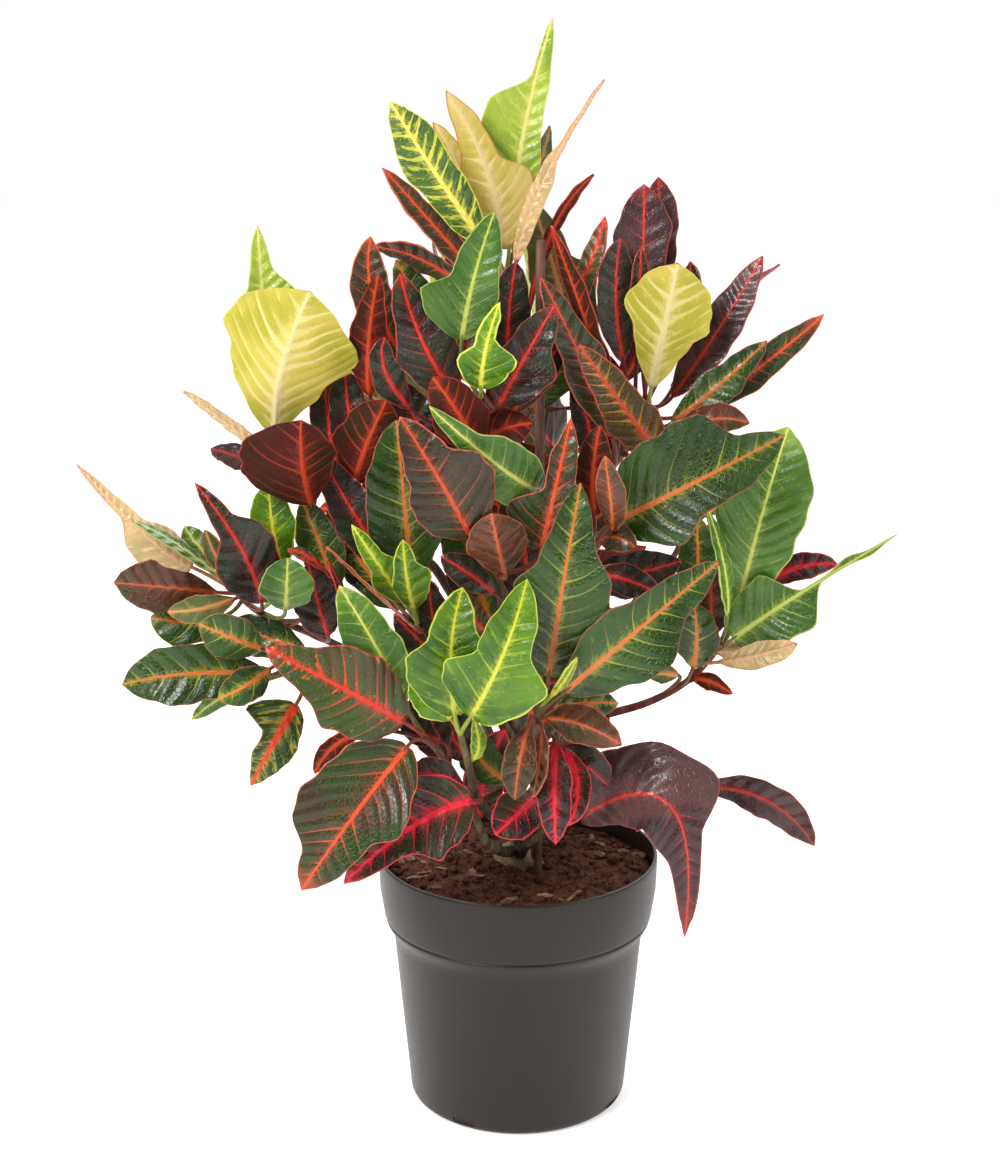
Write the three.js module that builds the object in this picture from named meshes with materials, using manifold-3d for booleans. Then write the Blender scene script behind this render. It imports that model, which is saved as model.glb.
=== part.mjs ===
import * as THREE from 'three';
import { mergeVertices } from 'three/addons/utils/BufferGeometryUtils.js';
import Module from 'manifold-3d';

// Potted croton: a bushy plant with lobed, waved leaves in a round nursery pot.
// Millimetres, +Z up. The origin is the centre of the pot's flat underside and
// the side that is seen first faces -Y.

// Pot
const POT_HEIGHT = 156;
const RIM_RADIUS = 85;
const WALL = 2.4;
const FLOOR = 3;
const FOOT_RADIUS = 66.6;
const COLLAR_FOOT_Z = 117;
const POT_SIDES = 24;
const DRAIN_HOLES = 4;
const DRAIN_RADIUS = 4.5;
const DRAIN_RING = 44;
const FOOT_NOTCHES = 4;
const FOOT_NOTCH_WIDTH = 15;
const FOOT_NOTCH_HEIGHT = 3;
const FOOT_NOTCH_DEPTH = 1.1;

// Soil
const FIT = 0.3;
const SOIL_EDGE_Z = 144;
const SOIL_MOUND = 4;

// Stake
const STAKE_RADIUS = 2.8;
const STAKE_FOOT_Z = 60;
const STAKE_TOP = [12, 525, 11];

// Blades
const EDGE_THICKNESS = 0.7;
const RIB_THICKNESS = 1.7;
const STALK_RADIUS = 1.3;
const LONG_STALK = 45;
const PLAIN_BLADE_THICKNESS = 0.9;
const PLAIN_BLADE_LIMIT = 14.5;
const PLAIN_BLADE_STATIONS = [0.05, 0.35, 0.76, 1];
const SHORT_BLADE_STATIONS = [0.03, 0.22, 0.5, 0.8, 1];
const LONG_BLADE_STATIONS = [0.02, 0.17, 0.4, 0.64, 0.86, 1];
const LOBED_BLADE = 0.35;
const LONG_BLADE = 100;
const CLEARANCE = 0.35;
const NUDGE = 3.5;
const NUDGES = 14;

// The leaves are noted as they look from a step in front of the plant: across
// and up on the upright plane through the pot's axis, then how far each point
// stands forward of that plane along the line from the eye.
const EYE = [-11, -1144.25, 616.27];

const wasm = await Module();
wasm.setup();

const makeMaterial = (colour, roughness) =>
  new THREE.MeshStandardMaterial({ color: colour, roughness, metalness: 0 });

const LEAF_COLOURS = {
  lime: makeMaterial(0x8fae2c, 0.4),
  green: makeMaterial(0x3f5f2e, 0.35),
  dark: makeMaterial(0x3d2a30, 0.35),
  red: makeMaterial(0x7a2420, 0.38),
};

// Solids

function toSolid(geometry) {
  const bare = geometry.clone();
  bare.deleteAttribute('normal');
  bare.deleteAttribute('uv');
  const welded = mergeVertices(bare, 1e-4);
  const mesh = new wasm.Mesh({
    numProp: 3,
    vertProperties: new Float32Array(welded.attributes.position.array),
    triVerts: new Uint32Array(welded.index.array),
  });
  return new wasm.Manifold(mesh);
}

// The faces of the largest closed skin: a sealed hollow is filled and a loose scrap dropped
function outerSkin(points, faces) {
  const leader = Array.from({ length: points.length / 3 }, (_, i) => i);
  const find = (i) => {
    let top = i;
    while (leader[top] !== top) {
      leader[top] = leader[leader[top]];
      top = leader[top];
    }
    return top;
  };
  for (let i = 0; i < faces.length; i += 3) {
    leader[find(faces[i + 1])] = find(faces[i]);
    leader[find(faces[i + 2])] = find(faces[i]);
  }
  const volumes = new Map();
  const corner = (i) => new THREE.Vector3(points[3 * i], points[3 * i + 1], points[3 * i + 2]);
  for (let i = 0; i < faces.length; i += 3) {
    const skin = find(faces[i]);
    const [a, b, c] = [corner(faces[i]), corner(faces[i + 1]), corner(faces[i + 2])];
    volumes.set(skin, (volumes.get(skin) ?? 0) + a.dot(b.cross(c)));
  }
  const largest = [...volumes].reduce((best, skin) => (skin[1] > best[1] ? skin : best))[0];
  return Array.from(faces).filter((_, i) => find(faces[i - (i % 3)]) === largest);
}

function toMesh(solid, name, material) {
  const { vertProperties, triVerts, numProp } = solid.getMesh();
  const points = new Float32Array((vertProperties.length / numProp) * 3);
  for (let i = 0; i < points.length / 3; i += 1) {
    for (let k = 0; k < 3; k += 1) {
      points[3 * i + k] = vertProperties[numProp * i + k];
    }
  }
  const geometry = new THREE.BufferGeometry();
  geometry.setAttribute('position', new THREE.BufferAttribute(points, 3));
  geometry.setIndex(outerSkin(points, triVerts));
  geometry.computeVertexNormals();
  const mesh = new THREE.Mesh(geometry, material);
  mesh.name = name;
  return mesh;
}

const touches = (a, b) => {
  const shared = a.intersect(b);
  const hit = shared.getMesh().triVerts.length > 0;
  shared.delete();
  return hit;
};

const seen = ([across, up, forward]) => {
  const share = forward / -EYE[1];
  return new THREE.Vector3(
    across + (EYE[0] - across) * share,
    -forward,
    up + (EYE[2] - up) * share,
  );
};

const asVector = ([x, y, z]) => new THREE.Vector3(x, y, z);

const smoothCurve = (points) => new THREE.CatmullRomCurve3(points, false, 'catmullrom', 0.5);

// Sections are rings of points with the same count; the ends are closed by fans.
function loftGeometry(rings) {
  const count = rings[0].length;
  const points = [];
  const faces = [];
  for (const ring of rings) {
    for (const p of ring) {
      points.push(p.x, p.y, p.z);
    }
  }
  for (let i = 0; i < rings.length - 1; i += 1) {
    for (let k = 0; k < count; k += 1) {
      const a = i * count + k;
      const b = i * count + ((k + 1) % count);
      const c = a + count;
      const d = b + count;
      const flip = 2 * k >= count;
      if (flip) {
        faces.push(a, b, d, a, d, c);
      } else {
        faces.push(a, b, c, b, d, c);
      }
    }
  }
  const last = (rings.length - 1) * count;
  for (let k = 1; k < count - 1; k += 1) {
    faces.push(0, k + 1, k);
    faces.push(last, last + k, last + k + 1);
  }
  const geometry = new THREE.BufferGeometry();
  geometry.setAttribute('position', new THREE.Float32BufferAttribute(points, 3));
  geometry.setIndex(faces);
  return geometry;
}

// Pot: one moulded piece with a deep collar, a tapered body, drain holes and foot notches

function potGeometry() {
  const outside = [
    [0, 0],
    [FOOT_RADIUS - 3, 0],
    [FOOT_RADIUS, 4.5],
    [75.8, 103],
    [78.2, 110.5],
    [81, COLLAR_FOOT_Z - 1.4],
    [80.6, COLLAR_FOOT_Z],
    [81.7, COLLAR_FOOT_Z + 1.2],
    [84.4, 136],
    [RIM_RADIUS, POT_HEIGHT - 1],
    [RIM_RADIUS - 0.6, POT_HEIGHT],
  ];
  const inside = [
    [RIM_RADIUS - WALL, POT_HEIGHT],
    [84.4 - WALL, 136],
    [81.6 - WALL, COLLAR_FOOT_Z + 2],
    [75.8 - WALL, 103],
    [FOOT_RADIUS - WALL, FLOOR],
    [0, FLOOR],
  ];
  const profile = [...outside, ...inside].map(([r, z]) => new THREE.Vector2(r, z));
  return new THREE.LatheGeometry(profile, POT_SIDES).rotateX(Math.PI / 2);
}

function potSolid() {
  let pot = toSolid(potGeometry());
  for (let i = 0; i < DRAIN_HOLES; i += 1) {
    const turn = (2 * Math.PI * (i + 0.5)) / DRAIN_HOLES;
    const hole = new THREE.CylinderGeometry(DRAIN_RADIUS, DRAIN_RADIUS, 4 * FLOOR, 8);
    hole.rotateX(Math.PI / 2);
    hole.translate(DRAIN_RING * Math.cos(turn), DRAIN_RING * Math.sin(turn), 0);
    pot = pot.subtract(toSolid(hole));
  }
  for (let i = 0; i < FOOT_NOTCHES; i += 1) {
    const turn = (2 * Math.PI * (i + 0.67)) / FOOT_NOTCHES;
    const notch = new THREE.BoxGeometry(8, FOOT_NOTCH_WIDTH, FOOT_NOTCH_HEIGHT);
    notch.translate(FOOT_RADIUS - FOOT_NOTCH_DEPTH + 4, 0, 3 + FOOT_NOTCH_HEIGHT / 2);
    notch.rotateZ(turn);
    pot = pot.subtract(toSolid(notch));
  }
  return pot;
}

// Soil: a plug of peat that follows the pot's inside a hair clear of it, with a low mound on top

const SOIL_RINGS = [
  [81.75, 0],
  [58, 2.2],
  [28, 3.6],
];

function soilSolid() {
  const profile = [
    [0, FLOOR + FIT],
    [FOOT_RADIUS - WALL - FIT, FLOOR + FIT],
    [75.8 - WALL - FIT, 103],
    [81.5 - WALL - FIT, COLLAR_FOOT_Z + 2.2],
    [84.3 - WALL - FIT, 136],
    ...SOIL_RINGS.map(([r, rise]) => [r, SOIL_EDGE_Z + rise]),
    [0, SOIL_EDGE_Z + SOIL_MOUND],
  ].map(([r, z]) => new THREE.Vector2(r, z));
  const geometry = new THREE.LatheGeometry(profile, POT_SIDES).rotateX(Math.PI / 2);
  return toSolid(geometry);
}

// Stems: round, tapering, bent along a smooth curve

function stemGeometry(points, footRadius, topRadius, sides, steps) {
  const curve = smoothCurve(points);
  const rings = [];
  let across = new THREE.Vector3(1, 0, 0);
  for (let i = 0; i <= steps; i += 1) {
    const share = i / steps;
    const centre = curve.getPoint(share);
    const along = curve.getTangent(share);
    across = across.clone().addScaledVector(along, -across.dot(along)).normalize();
    const up = new THREE.Vector3().crossVectors(along, across);
    const radius = footRadius + (topRadius - footRadius) * share;
    const ring = [];
    for (let k = 0; k < sides; k += 1) {
      const turn = (2 * Math.PI * k) / sides;
      ring.push(
        centre.clone()
          .addScaledVector(across, radius * Math.cos(turn))
          .addScaledVector(up, radius * Math.sin(turn)),
      );
    }
    rings.push(ring);
  }
  return loftGeometry(rings);
}

// Leaf: a round stalk that widens into a folded, waved blade with a rib.
// A lobed blade narrows at its waist from a broad lower part to a tongue, most on its
// wider side. One with a lobe below zero widens there, and one near 1 ends in a tail
// with a leaflet.

const ovalShare = (t, lobe) => Math.sin(Math.PI * t ** (1.15 - 0.5 * lobe)) ** 0.62;

function waistShare(t, lobe, waist) {
  const drop = THREE.MathUtils.smoothstep(t, waist - 0.1, waist + 0.06);
  const leaflet = 0.3 * lobe ** 4 * Math.exp(-(((t - waist - 0.31) / 0.07) ** 2));
  return 1 - lobe * drop + leaflet;
}

function bladeHalfWidth(t, leaf, side) {
  const reach = leaf.half * (1 + side * leaf.skew);
  const lobe = Math.min(leaf.lobe * (1 + 2 * side * leaf.skew), 0.93);
  const waist = leaf.waist + side * leaf.slant;
  const width = reach * ovalShare(Math.min(t, 0.975), leaf.lobe) * waistShare(t, lobe, waist);
  return Math.max(width, 0.9);
}

function midribPoint(leaf, t) {
  const { base, middle, tip } = leaf;
  const bend = middle.clone().multiplyScalar(2)
    .addScaledVector(base, -0.5)
    .addScaledVector(tip, -0.5);
  return base.clone().multiplyScalar((1 - t) ** 2)
    .addScaledVector(bend, 2 * t * (1 - t))
    .addScaledVector(tip, t * t);
}

function midribDirection(leaf, t) {
  const step = 0.01;
  const before = midribPoint(leaf, Math.max(0, t - step));
  const after = midribPoint(leaf, Math.min(1, t + step));
  return after.sub(before).normalize();
}

function faceDirection(leaf, along) {
  const face = leaf.facing.clone().addScaledVector(along, -leaf.facing.dot(along)).normalize();
  return face.applyAxisAngle(along, THREE.MathUtils.degToRad(leaf.turn));
}

function bladeRing(leaf, t, thicken) {
  const centre = midribPoint(leaf, t);
  const along = midribDirection(leaf, t);
  const face = faceDirection(leaf, along);
  const right = new THREE.Vector3().crossVectors(along, face);
  const taper = 0.5 + 0.5 * Math.min(1, (1 - t) * 4);
  const rib = (RIB_THICKNESS * taper) / 2 + thicken;
  const edge = (leaf.plain ? PLAIN_BLADE_THICKNESS : EDGE_THICKNESS) / 2 + thicken;
  const place = (side, height) => {
    const width = bladeHalfWidth(t, leaf, side);
    const wave = leaf.wave * Math.sin(leaf.phase + side + 12 * t) * (width / leaf.half);
    const lift = side === 0 || leaf.plain ? 0 : leaf.fold * width + wave;
    const out = side * (width + (side === 0 ? 0 : thicken));
    return centre.clone().addScaledVector(right, out).addScaledVector(face, lift + height);
  };
  if (leaf.plain) {
    return [place(-1, edge), place(1, edge), place(1, -edge), place(-1, -edge)];
  }
  return [
    place(-1, edge), place(0, rib), place(1, edge),
    place(1, -edge), place(0, -rib), place(-1, -edge),
  ];
}

function stalkRing(leaf, share, thicken) {
  const start = leaf.root;
  const end = leaf.base;
  const along = midribDirection(leaf, 0);
  const reach = start.distanceTo(end);
  const bend = end.clone().addScaledVector(along, -0.45 * reach);
  const centre = start.clone().multiplyScalar((1 - share) ** 2)
    .addScaledVector(bend, 2 * share * (1 - share))
    .addScaledVector(end, share * share);
  const heading = bend.clone().sub(start).multiplyScalar(1 - share)
    .addScaledVector(end.clone().sub(bend), share)
    .normalize();
  const face = faceDirection(leaf, heading);
  const right = new THREE.Vector3().crossVectors(heading, face);
  const radius = STALK_RADIUS + thicken;
  const corners = leaf.plain
    ? [[-0.8, 0.8], [0.8, 0.8], [0.8, -0.8], [-0.8, -0.8]]
    : [[-0.87, 0.5], [0, 1], [0.87, 0.5], [0.87, -0.5], [0, -1], [-0.87, -0.5]];
  return corners.map(([x, y]) =>
    centre.clone().addScaledVector(right, radius * x).addScaledVector(face, radius * y));
}

// Where the sections of a blade stand along its midrib, closest round a waist
function bladeStations(leaf) {
  const { base, middle, tip, waist } = leaf;
  if (leaf.plain) {
    return PLAIN_BLADE_STATIONS;
  }
  if (leaf.lobe > LOBED_BLADE) {
    return [0.03, 0.5 * waist - 0.05, waist - 0.1, waist + 0.06, 0.5 * waist + 0.5, 1];
  }
  const length = base.distanceTo(middle) + middle.distanceTo(tip);
  return length > LONG_BLADE ? LONG_BLADE_STATIONS : SHORT_BLADE_STATIONS;
}

function leafSolid(leaf, thicken, withStalk) {
  const rings = bladeStations(leaf).map((t) => bladeRing(leaf, t, thicken));
  if (withStalk) {
    const bent = leaf.root.distanceTo(leaf.base) > LONG_STALK;
    rings.unshift(...(bent ? [0, 0.5] : [0]).map((share) => stalkRing(leaf, share, thicken)));
  }
  return toSolid(loftGeometry(rings));
}

// Leafy stems: the line of each stem, then its leaves. A leaf row holds
// the share of the stem where it grows; the foot, middle and tip of its midrib;
// half width; lean of the width to one side; turn of the blade about its midrib
// (0 shows the upper face, 180 the underside); how much of the width the lobe
// loses towards the tongue, and where; for a blade with uneven sides, how far that
// place slants from one side to the other.

const LEAFY_STEMS = {
  crown: {
    colour: 'lime',
    stem: [[-4, 402, -4], [-7, 455, -4], [-9, 505, -3]],
    leaves: [
      [0.98, [-6, 518, -6], [2, 583, -10], [18, 646, -12], 18, -0.35, 0, 0.5, 0.6, -0.1],
      [0.9, [-13, 515, 8], [-41, 553, 14], [-72, 601, 12], 13, 0, -15, -0.2, 0.7],
      [0.7, [-20, 500, -4], [-46, 530, -6], [-77, 565, -8], 9, 0, 30, 0.1, 0.5],
      [0.95, [-12, 520, 2], [-18, 563, 4], [-41, 607, 2], 19, -0.25, 180, 0.4, 0.56],
      [0.85, [-14, 522, -8], [-31, 562, -12], [-48, 590, -16], 9, 0, 140, 0.2, 0.5],
      [0.9, [-2, 512, 8], [15, 560, 14], [47, 613, 10], 7, 0, 140, 0.7, 0.6],
      [0.8, [-3, 520, -16], [8, 556, -24], [17, 588, -26], 8, 0, 50, 0, 0.5],
      [0.35, [5, 480, -10], [19, 530, -12], [42, 561, -14], 4.5, 0, 140, 0, 0.5],
      [0.15, [12, 460, 2], [36, 502, 2], [48, 538, 0], 8, 0, -30, 0.1, 0.5],
      [0.45, [-22, 492, -14], [-55, 514, -16], [-83, 521, -18], 9, 0, -40, 0.1, 0.5],
      [0.05, [6, 425, -14], [24, 462, -24], [40, 505, -30], 17, 0, 0, 0.1, 0.5],
      [0.2, [-22, 440, -16], [-34, 472, -26], [-44, 508, -30], 16, 0, 0, 0.1, 0.5],
      [0.4, [-34, 462, -20], [-54, 486, -24], [-70, 514, -28], 13, 0, 0, 0.1, 0.5],
      [0.3, [-6, 448, 12], [-6, 480, 14], [-2, 513, 10], 12, 0, 0, 0, 0.5],
    ],
  },
  upper_middle: {
    colour: 'dark',
    stem: [[-8, 372, 20], [-16, 410, 34], [-22, 436, 42]],
    leaves: [
      [0.95, [-33, 468, 48], [-26, 503, 50], [-14, 541, 44], 22, -0.3, 0, 0.36, 0.5],
      [1, [-22, 440, 58], [-19, 464, 66], [-11, 490, 66], 16, 0.1, 0, 0.62, 0.5],
      [0.85, [-12, 430, 50], [3, 458, 50], [20, 488, 44], 18, 0.1, 0, 0.3, 0.55],
      [0.7, [-6, 424, 36], [13, 451, 34], [31, 476, 28], 11, 0, 30, 0.2, 0.5],
      [0.8, [-36, 436, 44], [-55, 466, 46], [-68, 506, 38], 18, 0, 0, 0.25, 0.6],
      [0.4, [-86, 436, 20], [-86, 468, 22], [-80, 506, 18], 12, 0, 180, 0.2, 0.6],
      [0.5, [-58, 450, 6], [-82, 488, 4], [-84, 527, 0], 13, 0, 0, 0.1, 0.5],
      [0.6, [-62, 428, 48], [-77, 450, 54], [-77, 470, 52], 10, 0, 0, 0.2, 0.5],
      [0.5, [-24, 404, 60], [-34, 424, 66], [-50, 447, 62], 16, 0, 180, 0.1, 0.5],
      [0.45, [-26, 404, 44], [-12, 415, 48], [8, 420, 46], 13, 0, 160, 0, 0.5],
      [0.1, [12, 380, 58], [-13, 396, 72], [-52, 430, 74], 17, 0, -25, 0.5, 0.62],
      [0.05, [-24, 385, 6], [-52, 410, 2], [-70, 446, -4], 17, 0, 0, 0.1, 0.5],
    ],
  },
  lower_middle: {
    colour: 'dark',
    stem: [[-6, 272, 38], [-10, 305, 54], [-11, 330, 62]],
    leaves: [
      [0.95, [-28, 352, 78], [-46, 386, 90], [-69, 424, 86], 25, 0.1, 0, 0.4, 0.58],
      [1, [13, 344, 68], [21, 380, 76], [30, 423, 70], 21, -0.15, 0, 0.55, 0.5],
      [0.98, [-8, 330, 76], [-12, 347, 86], [-16, 367, 86], 17, 0, 180, 0, 0.5],
      [0.6, [-14, 318, 66], [-29, 330, 74], [-46, 341, 74], 9, 0, 10, 0, 0.5],
      [0.5, [4, 316, 50], [18, 332, 52], [26, 356, 48], 12, 0, 10, 0.2, 0.5],
      [0.3, [-14, 292, 48], [-26, 302, 56], [-34, 320, 56], 9, 0, 30, 0, 0.5],
      [0.1, [-16, 298, 26], [-28, 345, 22], [-32, 392, 20], 19, 0, 0, 0.1, 0.5],
      [0.15, [6, 300, 26], [4, 345, 22], [-2, 395, 18], 16, 0, 0, 0.1, 0.5],
      [0.25, [-16, 268, 46], [-32, 286, 52], [-46, 306, 50], 13, 0, 0, 0.1, 0.5],
    ],
  },
  middle_left: {
    colour: 'green',
    stem: [[-22, 262, 30], [-45, 285, 42], [-60, 300, 50]],
    leaves: [
      [0.95, [-63, 326, 54], [-67, 374, 62], [-71, 422, 56], 24, 0, 0, 0.15, 0.55],
      [0.98, [-68, 313, 62], [-82, 335, 74], [-98, 360, 74], 10, 0, 0, 0.4, 0.5],
      [1, [-62, 308, 66], [-66, 328, 80], [-68, 351, 80], 11, 0.2, 0, 0.3, 0.6],
      [0.9, [-60, 296, 62], [-86, 320, 82], [-113, 347, 84], 7, 0, 95, 0, 0.5],
      [0.7, [-72, 330, 34], [-96, 366, 36], [-116, 404, 30], 15, 0, 0, 0.2, 0.55],
      [0.5, [-40, 290, 56], [-50, 302, 66], [-52, 326, 66], 10, 0, 0, 0, 0.5],
      [0.4, [-56, 310, 24], [-84, 330, 18], [-104, 352, 14], 16, 0, 0, 0.1, 0.5],
      [0.3, [-36, 266, 40], [-54, 284, 46], [-74, 306, 44], 12, 0, 0, 0.1, 0.5],
      [0.6, [-84, 326, 26], [-98, 346, 24], [-112, 368, 18], 13, 0, 0, 0.1, 0.5],
    ],
  },
  upper_right: {
    colour: 'dark',
    stem: [[27, 352, 0], [55, 395, 6], [75, 433, 10]],
    leaves: [
      [0.8, [68, 470, 2], [70, 514, 0], [70, 556, -6], 14, 0, 0, -0.2, 0.6],
      [0.9, [76, 470, -12], [79, 518, -16], [78, 560, -20], 10, 0, 0, -0.2, 0.6],
      [0.7, [60, 455, 12], [55, 492, 12], [57, 526, 6], 13, 0, 20, 0.1, 0.5],
      [1, [76, 440, 16], [83, 475, 26], [90, 512, 24], 19, 0, 180, -0.35, 0.55],
      [0.97, [71, 452, 12], [69, 490, 16], [69, 521, 14], 6, 0, 0, 0, 0.5],
      [0.95, [88, 435, 4], [112, 471, 4], [138, 516, -2], 13, 0, -20, 0.1, 0.6],
      [0.9, [88, 440, -12], [114, 482, -16], [148, 511, -20], 4, 0, 60, 0, 0.5],
      [0.9, [94, 425, 10], [133, 449, 12], [174, 483, 6], 10, 0, 0, 0.1, 0.5],
      [0.85, [88, 420, 18], [116, 443, 22], [142, 468, 16], 11, 0, -10, 0.2, 0.6],
      [0.92, [84, 452, -2], [96, 482, -4], [97, 513, -8], 12, 0, -20, 0.1, 0.5],
      [0.75, [88, 410, 28], [110, 422, 34], [133, 420, 32], 9, 0, 180, 0, 0.5],
      [0.5, [56, 424, 20], [40, 474, 24], [18, 533, 14], 10, 0, 130, 0.1, 0.5],
      [0.4, [54, 412, 34], [36, 456, 38], [12, 504, 30], 14, 0, 25, 0.2, 0.6],
      [0.6, [86, 396, 42], [63, 426, 50], [34, 466, 48], 15, 0, 180, 0.2, 0.5],
      [0.3, [50, 392, 30], [40, 420, 34], [34, 456, 28], 10, 0, 0, 0.1, 0.5],
      [0.1, [40, 385, -10], [52, 420, -14], [48, 462, -18], 16, 0, 0, 0.1, 0.5],
    ],
  },
  middle_right: {
    colour: 'green',
    stem: [[10, 300, 34], [32, 330, 46], [47, 350, 56]],
    leaves: [
      [1, [57, 362, 74], [104, 386, 92], [154, 413, 80], 32, -0.05, 0, 0.45, 0.56, -0.18],
      [0.97, [55, 356, 84], [54, 374, 100], [50, 401, 100], 9, 0, 150, 0, 0.5],
      [0.7, [44, 366, 62], [43, 390, 66], [47, 419, 60], 10, 0, 180, 0, 0.5],
      [0.9, [48, 350, 76], [57, 352, 92], [69, 346, 98], 9, 0, 150, 0, 0.5],
      [0.6, [44, 330, 60], [62, 327, 66], [84, 318, 66], 9, 0, 0, 0, 0.5],
      [0.2, [24, 305, 26], [52, 296, 22], [84, 286, 18], 15, 0, 0, 0.1, 0.5],
      [0.5, [40, 326, 30], [66, 330, 28], [96, 338, 22], 14, 0, 0, 0.1, 0.5],
    ],
  },
  right: {
    colour: 'green',
    stem: [[52, 243, 12], [78, 251, 19], [102, 265, 26], [122, 288, 33]],
    leaves: [
      [1, [129, 304, 42], [141, 360, 56], [156, 418, 48], 23, 0, 0, -0.1, 0.5],
      [0.9, [124, 304, 56], [121, 334, 72], [110, 370, 72], 7, 0, 55, 0.1, 0.5],
      [0.97, [127, 290, 50], [166, 318, 58], [222, 354, 44], 20, 0, -15, 0.93, 0.52],
      [0.85, [120, 276, 58], [142, 280, 66], [166, 287, 66], 8, 0, 160, 0, 0.5],
      [0.99, [142, 322, 26], [164, 334, 24], [188, 336, 20], 8, 0, 0, 0, 0.5],
      [0.9, [112, 290, 36], [114, 312, 34], [112, 338, 28], 13, 0, 0, 0, 0.5],
      [0.8, [116, 283, 44], [134, 282, 48], [153, 279, 46], 7, 0, 180, 0, 0.5],
      [0.6, [104, 272, 40], [106, 290, 48], [104, 312, 48], 13, 0, 0, 0, 0.5],
      [0.4, [95, 268, 34], [87, 269, 40], [77, 268, 40], 6, 0, 180, 0, 0.5],
      [0.62, [105, 265, 32], [114, 264, 36], [128, 256, 34], 6, 0, 150, 0.1, 0.6],
      [0.7, [106, 300, 20], [106, 330, 14], [104, 366, 8], 14, 0, 0, 0.1, 0.5],
    ],
  },
  lower_right: {
    colour: 'green',
    stem: [[2, 192, 50], [8, 225, 70], [14, 248, 82]],
    leaves: [
      [1, [18, 266, 90], [26, 322, 104], [36, 385, 98], 27, 0, 0, 0.42, 0.62],
      [0.95, [27, 257, 96], [72, 297, 104], [118, 338, 88], 22, 0.1, 0, 0.35, 0.6],
      [0.98, [19, 254, 96], [27, 264, 112], [35, 279, 114], 3.6, 0, 40, 0, 0.5],
      [0.85, [17, 241, 84], [38, 237, 92], [62, 224, 90], 12, 0, 180, 0.1, 0.5],
      [0.8, [20, 246, 72], [40, 250, 74], [60, 250, 68], 9, 0, -20, 0, 0.5],
      [0.75, [6, 236, 92], [1, 214, 104], [-2, 189, 104], 9.5, 0, 0, 0, 0.5],
      [0.7, [14, 234, 88], [13, 214, 98], [9, 190, 100], 6, 0, 30, 0, 0.5],
      [0.5, [22, 226, 80], [22, 194, 94], [23, 160, 96], 11, 0, 0, 0.1, 0.5],
      [0.4, [27, 222, 66], [36, 199, 76], [31, 172, 78], 8, 0, 10, 0, 0.5],
      [0.3, [20, 216, 56], [38, 212, 62], [54, 198, 60], 13, 0, 20, 0, 0.5],
      [0.05, [-4, 200, 34], [-22, 214, 30], [-30, 236, 26], 12, 0, 0, 0, 0.5],
    ],
  },
  lime_front: {
    colour: 'lime',
    stem: [[-27, 196, 60], [-31, 215, 78], [-35, 231, 88]],
    leaves: [
      [1, [-29, 241, 98], [-9, 281, 118], [5, 327, 108], 29, 0, 0, 0.5, 0.46],
      [0.95, [-38, 242, 92], [-40, 284, 104], [-33, 322, 96], 23, -0.1, 0, 0.4, 0.58],
      [0.9, [-40, 240, 88], [-50, 254, 96], [-61, 273, 92], 13, 0, 0, 0, 0.5],
      [0.6, [-28, 214, 74], [-24, 224, 76], [-27, 240, 76], 5, 0, 30, 0, 0.5],
    ],
  },
  lower_left: {
    colour: 'red',
    stem: [[-22, 168, 48], [-34, 196, 60], [-46, 217, 70], [-56, 229, 74]],
    leaves: [
      [1, [-68, 238, 84], [-104, 259, 98], [-151, 285, 96], 24, 0, 0, 0.35, 0.66],
      [0.96, [-68, 250, 74], [-84, 284, 82], [-106, 323, 76], 16, -0.1, 0, 0.1, 0.5],
      [0.92, [-78, 266, 60], [-98, 306, 68], [-112, 338, 64], 5, 0, 60, 0, 0.5],
      [0.8, [-66, 224, 86], [-99, 180, 108], [-133, 130, 112], 29, 0.08, 0, 0.35, 0.66, 0.12],
      [0.2, [-27, 188, 76], [-64, 172, 92], [-107, 134, 98], 24, 0, 0, 0.45, 0.6],
      [0.35, [-36, 200, 70], [-50, 205, 78], [-66, 206, 78], 10, 0, 0, 0, 0.5],
      [0.85, [-92, 232, 62], [-111, 223, 64], [-123, 206, 60], 6, 0, 160, 0, 0.5],
      [0.55, [-46, 226, 62], [-60, 234, 60], [-66, 248, 54], 9, 0, 0, 0, 0.5],
      [0.3, [-30, 214, 30], [-44, 246, 22], [-40, 285, 18], 17, 0, 0, 0.1, 0.5],
      [0.1, [-24, 176, 24], [-20, 204, 14], [-8, 234, 8], 14, 0, 0, 0.1, 0.5],
      [0.5, [-44, 212, 40], [-54, 238, 32], [-58, 264, 26], 13, 0, 0, 0.1, 0.5],
    ],
  },
  lower_right_foot: {
    colour: 'dark',
    stem: [[9, 162, 22], [18, 169, 32], [28, 174, 40]],
    leaves: [
      [1, [36, 176, 46], [92, 185, 78], [103, 99, 80], 27, -0.15, -10, 0.5, 0.68],
      [0.8, [108, 197, 18], [150, 189, 26], [181, 159, 30], 11, 0, 10, 0, 0.5],
      [0.6, [10, 190, 62], [0, 180, 78], [-14, 166, 86], 14, 0, 0, 0, 0.5],
      [0.5, [30, 190, 20], [50, 206, 24], [72, 214, 20], 12, 0, 0, 0, 0.5],
    ],
  },
  left: {
    colour: 'green',
    stem: [[-62, 262, 4], [-115, 290, 15], [-152, 306, 22], [-168, 320, 26]],
    leaves: [
      [1, [-192, 334, 22], [-220, 355, 22], [-257, 396, 14], 14, 0.1, 160, 0.65, 0.56],
      [0.98, [-174, 326, 36], [-200, 347, 42], [-226, 362, 38], 6, 0, 55, 0, 0.5],
      [0.95, [-174, 334, 16], [-187, 346, 12], [-196, 359, 8], 9, 0, 0, 0.1, 0.5],
      [0.9, [-168, 328, 44], [-177, 340, 50], [-184, 357, 50], 6, 0, 180, 0, 0.5],
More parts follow.
